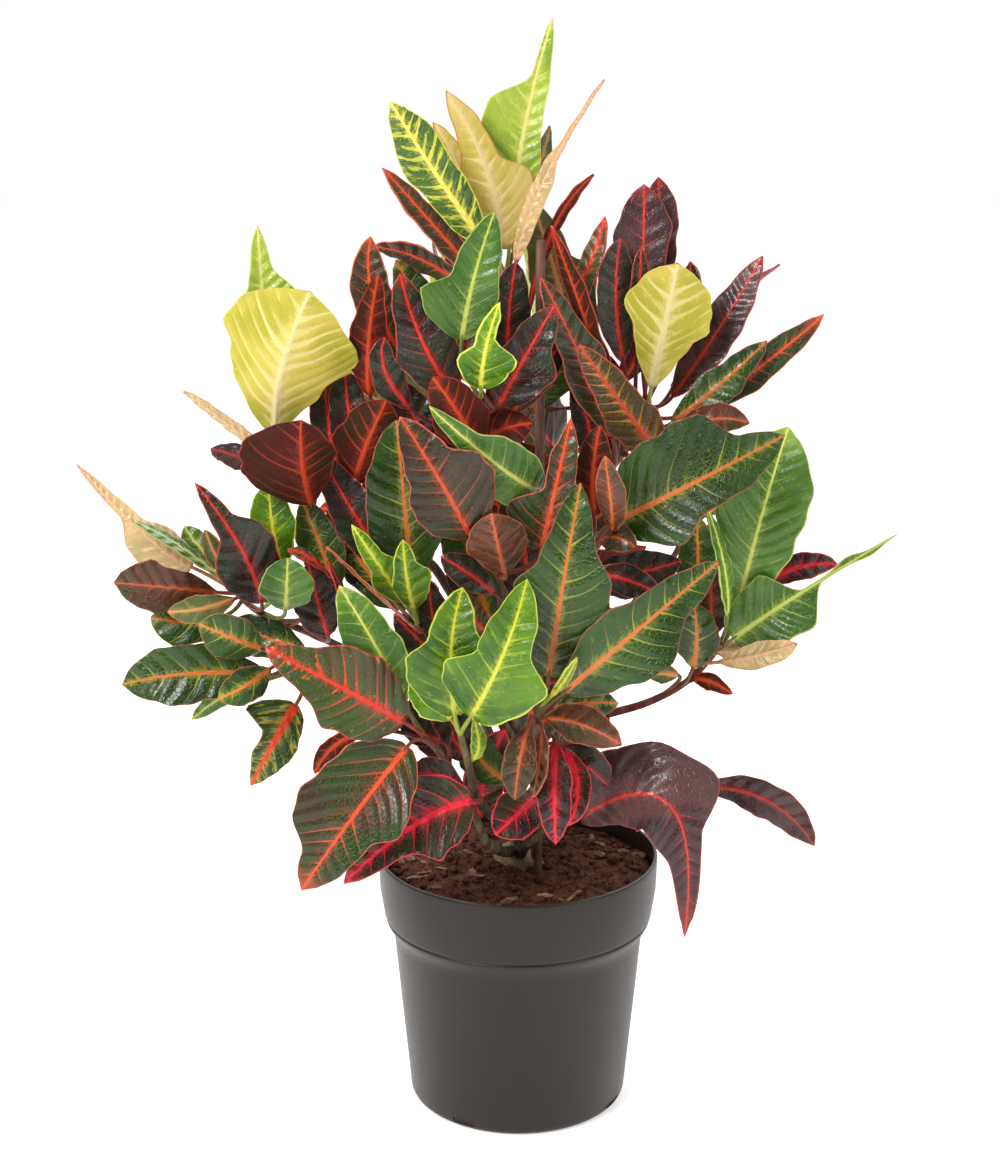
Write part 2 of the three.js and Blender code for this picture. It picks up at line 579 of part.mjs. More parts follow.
      [0.96, [-178, 319, 36], [-206, 322, 50], [-239, 325, 48], 12, 0, -15, -0.3, 0.6],
      [0.92, [-168, 315, 46], [-187, 309, 58], [-208, 307, 60], 8, 0, 180, 0, 0.5],
      [0.88, [-174, 305, 34], [-197, 301, 40], [-218, 304, 38], 14, 0, 0, 0, 0.5],
      [0.8, [-152, 312, 48], [-163, 345, 62], [-189, 385, 58], 18, 0, 0, 0.55, 0.64],
      [0.7, [-139, 332, 34], [-144, 356, 38], [-146, 386, 34], 13, 0, 0, 0, 0.5],
      [0.65, [-138, 308, 58], [-137, 322, 72], [-136, 340, 72], 15, 0, 0, 0, 0.5],
      [0.5, [-114, 332, 56], [-125, 341, 62], [-136, 345, 62], 5, 0, 50, 0, 0.5],
      [0.45, [-113, 292, 44], [-118, 310, 54], [-124, 337, 52], 14, 0, 0, 0, 0.5],
      [0.55, [-108, 320, 28], [-116, 346, 26], [-127, 375, 20], 14, 0, 0, 0.1, 0.5],
    ],
  },
  lower_far_left: {
    colour: 'green',
    stem: [[-42, 240, 24], [-95, 258, 38], [-138, 276, 50]],
    leaves: [
      [1, [-150, 268, 62], [-194, 269, 72], [-237, 262, 66], 17, 0, 0, 0, 0.5],
      [0.97, [-152, 284, 60], [-170, 291, 78], [-190, 300, 80], 13, 0, -15, 0, 0.5],
      [0.95, [-148, 272, 68], [-162, 262, 88], [-180, 253, 92], 10, 0, 0, 0, 0.5],
      [0.9, [-160, 262, 56], [-178, 254, 52], [-196, 240, 48], 5.5, 0, 0, 0, 0.5],
      [0.85, [-133, 250, 54], [-147, 226, 62], [-162, 198, 62], 19, 0.3, 0, 0.42, 0.62, -0.2],
      [0.75, [-126, 282, 34], [-150, 291, 30], [-176, 298, 24], 12, 0, 0, 0, 0.5],
    ],
  },
  upper_left: {
    colour: 'lime',
    stem: [[-55, 338, 0], [-102, 378, 8], [-128, 402, 12]],
    leaves: [
      [0.97, [-139, 430, 4], [-145, 482, 2], [-148, 533, -6], 22, 0, 0, 0.6, 0.66],
      [1, [-141, 412, 20], [-136, 453, 32], [-119, 496, 30], 30, 0, 180, -0.35, 0.56],
      [0.92, [-136, 412, 4], [-148, 428, 2], [-162, 449, -4], 5, 0, 60, 0, 0.5],
      [0.95, [-142, 400, 8], [-167, 419, 6], [-193, 439, 0], 7, 0, 120, 0.1, 0.5],
      [0.9, [-146, 392, 16], [-163, 400, 18], [-179, 405, 14], 8, 0, 30, 0, 0.5],
      [0.8, [-121, 372, 32], [-126, 396, 50], [-126, 422, 52], 27, 0.3, 180, 0, 0.5],
      [0.5, [-96, 384, 26], [-88, 408, 36], [-76, 434, 36], 20, 0, 180, 0.1, 0.5],
      [0.6, [-106, 390, 14], [-110, 418, 12], [-112, 448, 6], 12, 0, 0, 0.1, 0.5],
      [0.4, [-92, 398, 20], [-98, 424, 18], [-100, 452, 12], 13, 0, 0, 0.1, 0.5],
    ],
  },
};

// Woody stem: one trunk rooted in the soil, with a branch to every leafy stem

const TRUNK = [[0, 0, 92], [-1, 2, 180], [-5, 3, 290], [-4.3, 3.9, 400.85]];
const TRUNK_FOOT_RADIUS = 6.5;
const TRUNK_TOP_RADIUS = 3.4;
const TRUNK_SIDES = 7;
const BRANCH_RADIUS = 2.9;
const TWIG_RADIUS = 2.4;
const TWIG_TOP_RADIUS = 1.7;
const TWIG_SIDES = 4;

// Height on the trunk where the branch to each leafy stem starts
const BRANCH_HEIGHTS = {
  upper_middle: 320,
  lower_middle: 235,
  middle_left: 225,
  upper_right: 300,
  middle_right: 255,
  right: 205,
  lower_right: 165,
  lime_front: 170,
  lower_left: 156,
  lower_right_foot: 152,
  left: 215,
  lower_far_left: 190,
  upper_left: 270,
};

function trunkPointAt(height) {
  const curve = smoothCurve(TRUNK.map(asVector));
  let share = 0.5;
  for (let step = 0.25; step > 1e-4; step /= 2) {
    share += curve.getPoint(share).z < height ? step : -step;
  }
  return curve.getPoint(share);
}

// A branch leaves the trunk outwards and ends a hair short of the leafy stem's foot.
function branchPoints(height, foot, heading) {
  const start = trunkPointAt(height);
  const end = foot.clone().addScaledVector(heading, -FIT - 0.1);
  const before = foot.clone().addScaledVector(heading, -9);
  const middle = start.clone().lerp(before, 0.5);
  middle.z -= 0.06 * start.distanceTo(before);
  return [start, middle, before, end];
}

// Hidden leafy stems: the plant is as full behind as in front. Each grows like one
// of the noted stems, swung round the pot's axis, with that stem's largest leaves.
// They stay inside the outline that the plant shows from the front.

const HIDDEN_STEMS = {
  back_top: { like: 'upper_middle', bearing: 180, lower: 14 },
  back_upper_right: { like: 'upper_left', bearing: -118, lower: 16 },
  back_upper_left: { like: 'upper_right', bearing: 132, lower: 18 },
  back_middle: { like: 'lower_middle', bearing: 172, lower: 12 },
  back_right: { like: 'left', bearing: -140, lower: 12 },
  back_left: { like: 'right', bearing: 140, lower: 10 },
  back_middle_left: { like: 'middle_right', bearing: 165, lower: 14 },
  back_lower_right: { like: 'lower_left', bearing: 205, lower: -14 },
  back_lower_left: { like: 'lower_right', bearing: 150, lower: -16 },
};

const HIDDEN_LEAVES = 5;
const HIDDEN_LEAF_HALF_WIDTH = 8;
const HIDDEN_FRONT_LIMIT = 8;
const HIDDEN_SWING = 4;

// Height, then how far the plant reaches left and right there, seen from the front
const OUTLINE = [
  [150, -60, 50],
  [200, -90, 60],
  [240, -125, 60],
  [270, -190, 110],
  [300, -190, 140],
  [340, -170, 150],
  [380, -150, 150],
  [410, -140, 140],
  [440, -125, 120],
  [480, -105, 100],
  [505, -75, 80],
  [520, -60, 10],
  [600, -20, 5],
];

function insideOutline(point) {
  const share = -point.y / -EYE[1];
  const across = (point.x - EYE[0] * share) / (1 - share);
  const up = (point.z - EYE[2] * share) / (1 - share);
  for (let i = 1; i < OUTLINE.length; i += 1) {
    const [low, lowLeft, lowRight] = OUTLINE[i - 1];
    const [high, highLeft, highRight] = OUTLINE[i];
    if (up >= low && up <= high) {
      const part = (up - low) / (high - low);
      const left = lowLeft + (highLeft - lowLeft) * part;
      const right = lowRight + (highRight - lowRight) * part;
      return across > left && across < right;
    }
  }
  return false;
}

// A noted leaf, moved along the line from the eye by a number of small steps
function poseNotedLeaf(row, index, curve, steps, turnMore) {
  const [share, foot, middle, tip, half, skew, turn, lobe, waist, slant = 0.05] = row;
  const shift = steps * NUDGE;
  const moved = ([across, up, forward], part) => seen([across, up, forward + part * shift]);
  const tipPoint = moved(tip, 1);
  return {
    root: curve.getPoint(share),
    base: moved(foot, 0.35),
    middle: moved(middle, 0.8),
    tip: tipPoint,
    half,
    plain: half <= PLAIN_BLADE_LIMIT,
    skew,
    turn: turn + turnMore,
    lobe,
    waist,
    slant,
    wave: half > 7 ? 1.5 : 0.4,
    phase: 1.7 * index,
    fold: 0.2,
    facing: new THREE.Vector3(...EYE).sub(tipPoint).normalize(),
  };
}

const UPRIGHT = new THREE.Vector3(0, 0, 1);

const swung = (point, degrees) =>
  point.clone().applyAxisAngle(UPRIGHT, THREE.MathUtils.degToRad(degrees));

function poseHiddenLeaf(row, index, curve, bearing, swing) {
  const leaf = poseNotedLeaf(row, index, curve, 0, 0);
  return {
    ...leaf,
    plain: true,
    root: swung(leaf.root, bearing),
    base: swung(leaf.base, bearing + 0.4 * swing),
    middle: swung(leaf.middle, bearing + 0.8 * swing),
    tip: swung(leaf.tip, bearing + swing),
    facing: swung(leaf.facing, bearing + swing),
  };
}

// Fitting: every leaf takes the first pose that is clear of what already stands

const standing = [];

function stand(solid, node, kind, blade) {
  const { min, max } = boxOf(solid);
  standing.push({ solid, node, kind, blade, box: new THREE.Box3(min, max) });
}

function boxOf(solid) {
  const { vertProperties } = solid.getMesh();
  return new THREE.Box3().setFromArray(vertProperties);
}

// 0 when the pose is clear, 1 when it meets a leaf of its own stem, 2 when it meets another piece
function conflict(leaf, node) {
  const wide = leafSolid(leaf, CLEARANCE, true);
  const box = boxOf(wide);
  const wideBlade = leafSolid(leaf, CLEARANCE, false);
  let worst = 0;
  for (const other of standing) {
    if (worst < 2 && other.box.intersectsBox(box)) {
      const own = other.node === node;
      if (!own && touches(wide, other.solid)) {
        worst = 2;
      } else if (own && worst < 1 && other.kind === 'leaf' && touches(wideBlade, other.blade)) {
        worst = 1;
      }
    }
  }
  wide.delete();
  wideBlade.delete();
  return worst;
}

function fitLeaf(poses, node) {
  let best = null;
  let bestConflict = 2;
  for (const pose of poses) {
    const level = conflict(pose, node);
    if (level < bestConflict) {
      best = pose;
      bestConflict = level;
    }
    if (level === 0) {
      break;
    }
  }
  if (best) {
    stand(leafSolid(best, 0, true), node, 'leaf', leafSolid(best, 0, false));
  }
  return best;
}

const alternate = (count) => {
  const steps = [0];
  for (let i = 1; i <= count; i += 1) {
    steps.push(i, -i);
  }
  return steps;
};

const joinAll = (solids) => solids.reduce((whole, solid) => whole.add(solid));

// Assembly

const FRONT_TO_BACK = [
  'lime_front', 'lower_right', 'lower_left', 'lower_middle', 'middle_right', 'upper_middle',
  'middle_left', 'lower_right_foot', 'right', 'left', 'lower_far_left', 'upper_left',
  'upper_right', 'crown',
];

const stakeTop = seen(STAKE_TOP);
const stakeFoot = new THREE.Vector3(stakeTop.x, stakeTop.y, STAKE_FOOT_Z);
const stakeWith = (extra) => toSolid(stemGeometry(
  [stakeFoot.clone().setZ(STAKE_FOOT_Z - extra), stakeTop],
  STAKE_RADIUS + extra,
  STAKE_RADIUS + extra,
  10,
  1,
));

const trunkWith = (extra) => {
  const points = TRUNK.map(asVector);
  points[0].z -= extra;
  return toSolid(stemGeometry(
    points,
    TRUNK_FOOT_RADIUS + extra,
    TRUNK_TOP_RADIUS + extra,
    TRUNK_SIDES,
    4,
  ));
};

const pot = potSolid();
const soil = soilSolid().subtract(stakeWith(FIT)).subtract(trunkWith(FIT));
const stake = stakeWith(0);
let trunk = trunkWith(0);

const twigs = {};
for (const [name, { stem }] of Object.entries(LEAFY_STEMS)) {
  twigs[name] = { points: stem.map(seen), height: BRANCH_HEIGHTS[name] };
}
for (const [name, { like, bearing, lower }] of Object.entries(HIDDEN_STEMS)) {
  const points = LEAFY_STEMS[like].stem.map((point) => swung(seen(point), bearing));
  twigs[name] = { points, height: BRANCH_HEIGHTS[like] - lower };
}

for (const twig of Object.values(twigs)) {
  twig.curve = smoothCurve(twig.points);
  const steps = twig.points.length - 1;
  twig.solid = toSolid(stemGeometry(twig.points, TWIG_RADIUS, TWIG_TOP_RADIUS, TWIG_SIDES, steps));
  if (twig.height) {
    const path = branchPoints(twig.height, twig.points[0], twig.curve.getTangent(0));
    trunk = trunk.add(toSolid(stemGeometry(path, BRANCH_RADIUS + 0.8, TWIG_RADIUS, TWIG_SIDES, 3)));
  }
}

stand(pot, 'pot', 'vessel');
stand(soil, 'soil', 'soil');
stand(stake, 'stake', 'stake');
stand(trunk, 'trunk', 'stem');
for (const [name, twig] of Object.entries(twigs)) {
  stand(twig.solid, name, 'stem');
}

const leafyNodes = {};

for (const name of FRONT_TO_BACK) {
  const { leaves, colour } = LEAFY_STEMS[name];
  const { curve, solid } = twigs[name];
  const parts = [solid];
  leaves.forEach((row, index) => {
    const poses = [];
    for (const steps of alternate(NUDGES)) {
      for (const turnMore of [0, 14, -14]) {
        poses.push(poseNotedLeaf(row, index, curve, steps, turnMore));
      }
    }
    const pose = fitLeaf(poses, name);
    if (pose) {
      parts.push(leafSolid(pose, 0, true));
    }
  });
  leafyNodes[name] = { parts, colour };
}

for (const [name, { like, bearing }] of Object.entries(HIDDEN_STEMS)) {
  const parts = [twigs[name].solid];
  const { leaves } = LEAFY_STEMS[like];
  for (const [index, row] of leaves.entries()) {
    if (row[4] >= HIDDEN_LEAF_HALF_WIDTH && parts.length <= HIDDEN_LEAVES) {
      const poses = alternate(8)
        .map((step) => poseHiddenLeaf(row, index, twigs[like].curve, bearing, HIDDEN_SWING * step))
        .filter(({ middle, tip }) => insideOutline(tip) && insideOutline(middle)
          && tip.y > HIDDEN_FRONT_LIMIT && middle.y > HIDDEN_FRONT_LIMIT);
      const pose = fitLeaf(poses, name);
      if (pose) {
        parts.push(leafSolid(pose, 0, true));
      }
    }
  }
  leafyNodes[name] = { parts, colour: 'green' };
}

const plant = new THREE.Group();
plant.name = 'potted_croton';
plant.add(toMesh(pot, 'pot', makeMaterial(0x3c3733, 0.55)));
plant.add(toMesh(soil, 'soil', makeMaterial(0x3a2318, 0.95)));
plant.add(toMesh(stake, 'stake', makeMaterial(0x6b4a34, 0.7)));
plant.add(toMesh(trunk, 'trunk', makeMaterial(0x6a5a48, 0.8)));
for (const [name, { parts, colour }] of Object.entries(leafyNodes)) {
  plant.add(toMesh(joinAll(parts), `leafy_stem_${name}`, LEAF_COLOURS[colour]));
}

export default plant;
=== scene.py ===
import math
from functools import reduce
import bpy
import numpy as np
from mathutils import Matrix, Vector, noise
from mathutils.kdtree import KDTree


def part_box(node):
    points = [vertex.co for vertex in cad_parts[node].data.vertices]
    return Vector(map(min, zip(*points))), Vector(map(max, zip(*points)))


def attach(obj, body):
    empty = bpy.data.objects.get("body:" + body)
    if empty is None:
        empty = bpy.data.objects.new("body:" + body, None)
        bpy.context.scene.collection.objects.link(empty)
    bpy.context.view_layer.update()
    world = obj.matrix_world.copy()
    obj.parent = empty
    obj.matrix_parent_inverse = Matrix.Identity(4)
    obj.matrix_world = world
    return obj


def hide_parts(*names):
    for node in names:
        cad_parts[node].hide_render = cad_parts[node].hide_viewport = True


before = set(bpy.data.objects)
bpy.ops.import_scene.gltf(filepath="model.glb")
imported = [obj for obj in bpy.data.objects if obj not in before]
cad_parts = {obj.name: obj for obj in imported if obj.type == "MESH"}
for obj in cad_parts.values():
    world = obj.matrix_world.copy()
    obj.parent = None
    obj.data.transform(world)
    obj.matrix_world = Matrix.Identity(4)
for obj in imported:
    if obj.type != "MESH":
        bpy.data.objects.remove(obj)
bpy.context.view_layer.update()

# Pot. A round nursery pot, moulded in one piece from dark grey-brown plastic with
# a fine matt grain. A deep collar flares out over the tapered body, with a groove at
# its foot; the floor has four drain holes and the foot four shallow notches.

MM = 0.001
POT_SIDES = 144
POT_PLASTIC = (0.0128, 0.0064, 0.0033, 1)
POT_PLASTIC_WORN = (0.0195, 0.0112, 0.0068, 1)
POT_OUTSIDE = [
    (0, 0), (61.4, 0), (62.9, 0.25), (64.4, 0.8), (65.5, 1.7), (66.2, 3.0), (66.6, 4.8),
    (68.4, 24), (72.0, 62), (75.8, 103), (76.3, 106), (77.4, 109.4), (78.3, 110.9),
    (78.9, 111.7), (79.9, 113.4), (80.7, 115.0), (81.0, 115.9), (80.95, 116.5),
    (80.6, 117.0), (80.75, 117.5), (81.4, 118.0), (81.8, 118.7), (82.0, 120),
    (84.4, 136), (84.9, 150), (85.0, 154.4), (84.9, 155.3), (84.6, 155.85), (84.1, 156),
]
POT_INSIDE = [
    (83.2, 156), (82.8, 155.8), (82.6, 155.2), (82.0, 136), (79.2, 119), (73.4, 103),
    (64.5, 5), (63.8, 3.8), (62.2, 3), (0, 3),
]
DRAIN_HOLES = 4
DRAIN_RING = 44
DRAIN_CUTTER = [(0, -6), (4.5, -6), (4.5, 6), (0, 6)]
DRAIN_SIDES = 32
NOTCH_SIZE = (8, 15, 3)
NOTCH_MIDDLE = (69.5, 0, 4.5)
SHARP_EDGE = 38


def band_faces(rings):
    """Faces between closed rings of point numbers. A ring of one number is a pole."""
    faces = []
    for low, high in zip(rings, rings[1:]):
        for k in range(len(low)):
            j = (k + 1) % len(low)
            faces.append(tuple(dict.fromkeys((low[k], low[j], high[j], high[k]))))
    return faces


def turned_skin(profile, sides):
    """Points and faces of a profile of (radius, height) turned round the pot's axis."""
    points, rings = [], []
    for radius, height in profile:
        if radius == 0:
            rings.append([len(points)] * sides)
            points.append((0, 0, height))
        else:
            rings.append([len(points) + k for k in range(sides)])
            for k in range(sides):
                turn = 2 * math.pi * k / sides
                points.append((radius * math.cos(turn), radius * math.sin(turn), height))
    return points, band_faces(rings)


def add_form(form, points, faces):
    """Adds points and faces to a form that is a pair of lists."""
    count = len(form[0])
    form[0].extend(np.asarray(points).tolist())
    form[1].extend([tuple(k + count for k in face) for face in faces])


def make_piece(name, points, faces, materials=(), crease=None):
    """A smooth-shaded piece from points in millimetres."""
    mesh = bpy.data.meshes.new(name)
    mesh.from_pydata((np.array(points, float) * MM).tolist(), [], faces)
    mesh.shade_smooth()
    if crease:
        mesh.set_sharp_from_angle(angle=math.radians(crease))
    for material in materials:
        mesh.materials.append(material)
    piece = bpy.data.objects.new(name, mesh)
    bpy.context.scene.collection.objects.link(piece)
    return piece


def take_place(piece, node):
    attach(piece, "root")
    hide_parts(node)


def feed(tree, value, socket):
    """Wires another node's output into a socket, or sets the socket's own value."""
    if isinstance(value, bpy.types.NodeSocket):
        tree.links.new(value, socket)
    else:
        socket.default_value = value


def add_node(tree, kind, inputs, output=0, **settings):
    """Sets up a node, feeds its inputs by name or number, and gives back one output."""
    node = tree.nodes.new(f"ShaderNode{kind}")
    for key, value in settings.items():
        setattr(node, key, value)
    for key, value in inputs.items():
        feed(tree, value, node.inputs[key])
    return node.outputs[output]


def reckon(tree, operation, *values):
    return add_node(tree, "Math", dict(enumerate(values)), operation=operation)


def ease(tree, value, low, high, start=0.0, end=1.0):
    """Runs smoothly from start to end while the value runs from low to high."""
    inputs = dict(enumerate((value, low, high, start, end)))
    return add_node(tree, "MapRange", inputs, interpolation_type="SMOOTHSTEP")


def blend(tree, share, first, second):
    return add_node(tree, "Mix", {"Factor": share, 6: first, 7: second}, 2, data_type="RGBA")


def speckle(tree, place, scale, detail=3.0, rough=0.55, warp=0.0):
    return add_node(tree, "TexNoise", {"Vector": place, "Scale": scale, "Detail": detail,
                                       "Roughness": rough, "Distortion": warp}, "Fac")


def in_millimetres(tree, stretch=(1000, 1000, 1000)):
    """The piece's own coordinates, in millimetres unless stretched."""
    place = add_node(tree, "TexCoord", {}, "Object")
    return add_node(tree, "VectorMath", {0: place, 1: stretch}, operation="MULTIPLY")


def start_material(name, roughness, gloss):
    material = bpy.data.materials.new(name)
    material.use_nodes = True
    tree = material.node_tree
    shader = tree.nodes["Principled BSDF"]
    shader.inputs["Roughness"].default_value = roughness
    shader.inputs["Specular IOR Level"].default_value = gloss
    return material, tree, shader


def press_in(tree, shader, height, depth, strength):
    """Raises the surface by a height of 0 to 1, over a depth in millimetres."""
    inputs = {"Strength": strength, "Distance": depth * MM, "Height": height}
    tree.links.new(add_node(tree, "Bump", inputs), shader.inputs["Normal"])


def pot_plastic():
    material, tree, shader = start_material("pot plastic", 0.4, 0.4)
    place = in_millimetres(tree)
    cloud = speckle(tree, place, 0.03, 4, 0.6)
    scuffs = speckle(tree, in_millimetres(tree, (260, 260, 1600)), 1.0, 5, 0.6, 0.4)
    worn = reckon(tree, "MULTIPLY", ease(tree, cloud, 0.42, 0.7), ease(tree, scuffs, 0.45, 0.75))
    colour = blend(tree, worn, POT_PLASTIC, POT_PLASTIC_WORN)
    tree.links.new(colour, shader.inputs["Base Color"])
    tree.links.new(ease(tree, scuffs, 0.3, 0.75, 0.34, 0.44), shader.inputs["Roughness"])
    grain = speckle(tree, place, 1.9, 2, 0.6)
    flow = speckle(tree, in_millimetres(tree, (45, 45, 420)), 1.0, 2, 0.5)
    height = reckon(tree, "ADD", reckon(tree, "MULTIPLY", grain, 0.35), flow)
    press_in(tree, shader, height, 0.07, 0.6)
    return material


def box_corners(size, middle, turn):
    """The eight corners and six faces of a block turned round the pot's axis."""
    spin = Matrix.Rotation(turn, 3, "Z")
    corners = [
        spin @ (Vector(middle) + Vector((x * size[0], y * size[1], z * size[2])) / 2)
        for x in (-1, 1) for y in (-1, 1) for z in (-1, 1)
    ]
    faces = [(0, 1, 3, 2), (4, 6, 7, 5), (0, 4, 5, 1), (2, 3, 7, 6), (0, 2, 6, 4), (1, 5, 7, 3)]
    return corners, faces


def cut_away(piece, points, faces):
    """Takes a set of closed blocks out of a piece."""
    cutter = make_piece("cutter", points, faces)
    tool = piece.modifiers.new("cut", "BOOLEAN")
    tool.operation = "DIFFERENCE"
    tool.solver = "EXACT"
    tool.object = cutter
    shown = piece.evaluated_get(bpy.context.evaluated_depsgraph_get())
    cut_mesh = bpy.data.meshes.new_from_object(shown)
    piece.modifiers.clear()
    piece.data = cut_mesh
    bpy.data.objects.remove(cutter)


def pot_cutters():
    """The rods of the drain holes and, a little further round, the blocks of the notches."""
    cutters = ([], [])
    rod, rod_faces = turned_skin(DRAIN_CUTTER, DRAIN_SIDES)
    for i in range(DRAIN_HOLES):
        turn = math.pi * (i + 0.5) / 2
        centre = np.array([DRAIN_RING * math.cos(turn), DRAIN_RING * math.sin(turn), 0])
        add_form(cutters, np.array(rod) + centre, rod_faces)
        add_form(cutters, *box_corners(NOTCH_SIZE, NOTCH_MIDDLE, math.pi * (i + 0.67) / 2))
    return cutters


pot = make_piece("pot_shell", *turned_skin(POT_OUTSIDE + POT_INSIDE, POT_SIDES), [pot_plastic()])
cut_away(pot, *pot_cutters())
pot.data.set_sharp_from_angle(angle=math.radians(SHARP_EDGE))
take_place(pot, "pot")

# Soil. A plug of dark peat that fills the pot to a finger's width below its rim.
# Its top is a low, crumbly mound, strewn with loose crumbs and flat chips of bark.

SOIL_DARK = (0.03, 0.0108, 0.006, 1)
SOIL_BROWN = (0.19, 0.066, 0.034, 1)
CHIP_PALE = (0.36, 0.23, 0.13, 1)
CHIP_BROWN = (0.15, 0.075, 0.04, 1)
SOIL_EDGE_Z = 144
SOIL_EDGE_RADIUS = 81.6
SOIL_MIDDLE_Z = 148
SOIL_TOP_RINGS = [(0, SOIL_MIDDLE_Z), (28, 147.6), (58, 146.2), (SOIL_EDGE_RADIUS, SOIL_EDGE_Z)]
SOIL_SIDE = [(81.5, 136), (78.6, 119), (73.1, 103), (63.9, 6), (61.6, 3.3), (0, 3.3)]
SOIL_SIDES = 120
SOIL_RINGS = 46
CALM_EDGE = 9
STREWN_RADIUS = 79
# How many, the smallest and largest, and how long, broad and thick they are beside that
CRUMBS = (520, 0.9, 3.4, (1, 0.85, 0.7))
CHIPS = (46, 1.4, 4.6, (1.5, 0.6, 0.35))


def mound_height(radius):
    rings, heights = zip(*SOIL_TOP_RINGS)
    return float(np.interp(radius, rings, heights))


def soil_bump(x, y):
    """How far the crumbly surface stands above the mound, less so along its edge."""
    rough = noise.fractal(Vector((x * 0.11, y * 0.11, 2.0)), 1.0, 2.1, 5)
    lumps = noise.noise(Vector((x * 0.045, y * 0.045, 9.0)))
    calm = min(1, (SOIL_EDGE_RADIUS + 1 - math.hypot(x, y)) / CALM_EDGE)
    return (2.3 * rough + 2.2 * lumps) * calm


def start_group(name, inputs, outputs):
    """A shader node group with named sockets, given as pairs of name and kind."""
    group = bpy.data.node_groups.new(name, "ShaderNodeTree")
    for way, sockets in (("INPUT", inputs), ("OUTPUT", outputs)):
        for key, kind in sockets:
            group.interface.new_socket(name=key, in_out=way, socket_type=f"NodeSocket{kind}")
    given = group.nodes.new("NodeGroupInput").outputs
    result = group.nodes.new("NodeGroupOutput").inputs
    return group, given, result


def place_group(tree, shader, group, values, depth, strength):
    """Sets a group into a material: its colour as the base, its relief as a bump."""
    colour = add_node(tree, "Group", values, "Colour", node_tree=group)
    outputs = colour.node.outputs
    tree.links.new(colour, shader.inputs["Base Color"])
    press_in(tree, shader, outputs["Relief"], depth, strength)
    return outputs


TWO_COLOURS = [("Dark", "Color"), ("Light", "Color")]
COLOUR_AND_RELIEF = [("Colour", "Color"), ("Relief", "Float")]


def crumbly_grain():
    """Lumps with finer grains on them."""
    group, given, result = start_group(
        "crumbly grain", TWO_COLOURS + [("Fineness", "Float")], COLOUR_AND_RELIEF)
    place = in_millimetres(group)
    lumps = speckle(group, place, 0.16, 6, 0.65)
    fine = speckle(group, place, given["Fineness"], 4, 0.7)
    share = ease(group, reckon(group, "MULTIPLY", lumps, fine), 0.13, 0.42)
    feed(group, blend(group, share, given["Dark"], given["Light"]), result["Colour"])
    feed(group, reckon(group, "ADD", lumps, fine), result["Relief"])
    return group


CRUMBLY_GRAIN = crumbly_grain()


def soil_material(name, dark, light, fineness):
    material, tree, shader = start_material(name, 0.9, 0.25)
    values = {"Dark": dark, "Light": light, "Fineness": fineness}
    place_group(tree, shader, CRUMBLY_GRAIN, values, 1.2, 0.8)
    return material


def soil_top():
    profile = SOIL_SIDE[::-1]
    radii = np.linspace(SOIL_EDGE_RADIUS, 0, SOIL_RINGS)
    profile += [(radius, mound_height(radius)) for radius in radii[:-1]]
    profile.append((0, SOIL_MIDDLE_Z))
    points, faces = turned_skin(profile, SOIL_SIDES)
    raised = []
    for x, y, z in points:
        radius = math.hypot(x, y)
        if z > SOIL_EDGE_Z - 0.5 and radius < SOIL_EDGE_RADIUS + 0.1:
            z += soil_bump(x, y)
        raised.append((x, y, z))
    return raised, faces


def lump(rng, centre, size, flat):
    """An uneven crumb: a ball of twelve corners pulled out of shape and turned."""
    golden = (1 + 5 ** 0.5) / 2
    ball = [(-1, golden, 0), (1, golden, 0), (-1, -golden, 0), (1, -golden, 0),
            (0, -1, golden), (0, 1, golden), (0, -1, -golden), (0, 1, -golden),
            (golden, 0, -1), (golden, 0, 1), (-golden, 0, -1), (-golden, 0, 1)]
    faces = [(0, 11, 5), (0, 5, 1), (0, 1, 7), (0, 7, 10), (0, 10, 11), (1, 5, 9), (5, 11, 4),
             (11, 10, 2), (10, 7, 6), (7, 1, 8), (3, 9, 4), (3, 4, 2), (3, 2, 6), (3, 6, 8),
             (3, 8, 9), (4, 9, 5), (2, 4, 11), (6, 2, 10), (8, 6, 7), (9, 8, 1)]
    shape = np.array(ball) / 1.9 * rng.uniform(0.7, 1.3, (12, 1)) * flat * size
    turn = Matrix.Rotation(rng.uniform(0, 6.28), 3, "Z") @ Matrix.Rotation(
        rng.uniform(-0.5, 0.5), 3, "X")
    return shape @ np.array(turn).T + centre, faces


def scatter(rng, count, smallest, largest, flat):
    strewn = ([], [])
    for _ in range(count):
        radius = STREWN_RADIUS * rng.uniform(0, 1) ** 0.5
        turn = rng.uniform(0, 2 * math.pi)
        x, y = radius * math.cos(turn), radius * math.sin(turn)
        size = rng.uniform(smallest, largest)
        rest = mound_height(radius) + soil_bump(x, y)
        add_form(strewn, *lump(rng, (x, y, rest + 0.25 * size), size, flat))
    return strewn


peat = soil_material("peat", SOIL_DARK, SOIL_BROWN, 0.55)
soil = make_piece("soil_plug", *soil_top(), [peat])
take_place(soil, "soil")
crumb_dice = np.random.default_rng(5)
crumbs = make_piece("soil_crumbs", *scatter(crumb_dice, *CRUMBS), [peat])
bark_chips = soil_material("bark chips", CHIP_BROWN, CHIP_PALE, 0.3)
chips = make_piece("soil_chips", *scatter(crumb_dice, *CHIPS), [bark_chips], 30)
for loose in (crumbs, chips):
    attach(loose, "root")

# Stake. A thin, straight support stick of reddish-brown bamboo beside the trunk,
# pushed into the soil and rising through the leaves.

STAKE_BROWN = (0.115, 0.05, 0.034, 1)
STAKE_PALE = (0.26, 0.14, 0.09, 1)
STAKE_RADIUS = 2.8
STAKE_TIP_RADIUS = 2.3
STAKE_SIDES = 20
STAKE_JOINTS = (150, 232, 318, 402, 478)


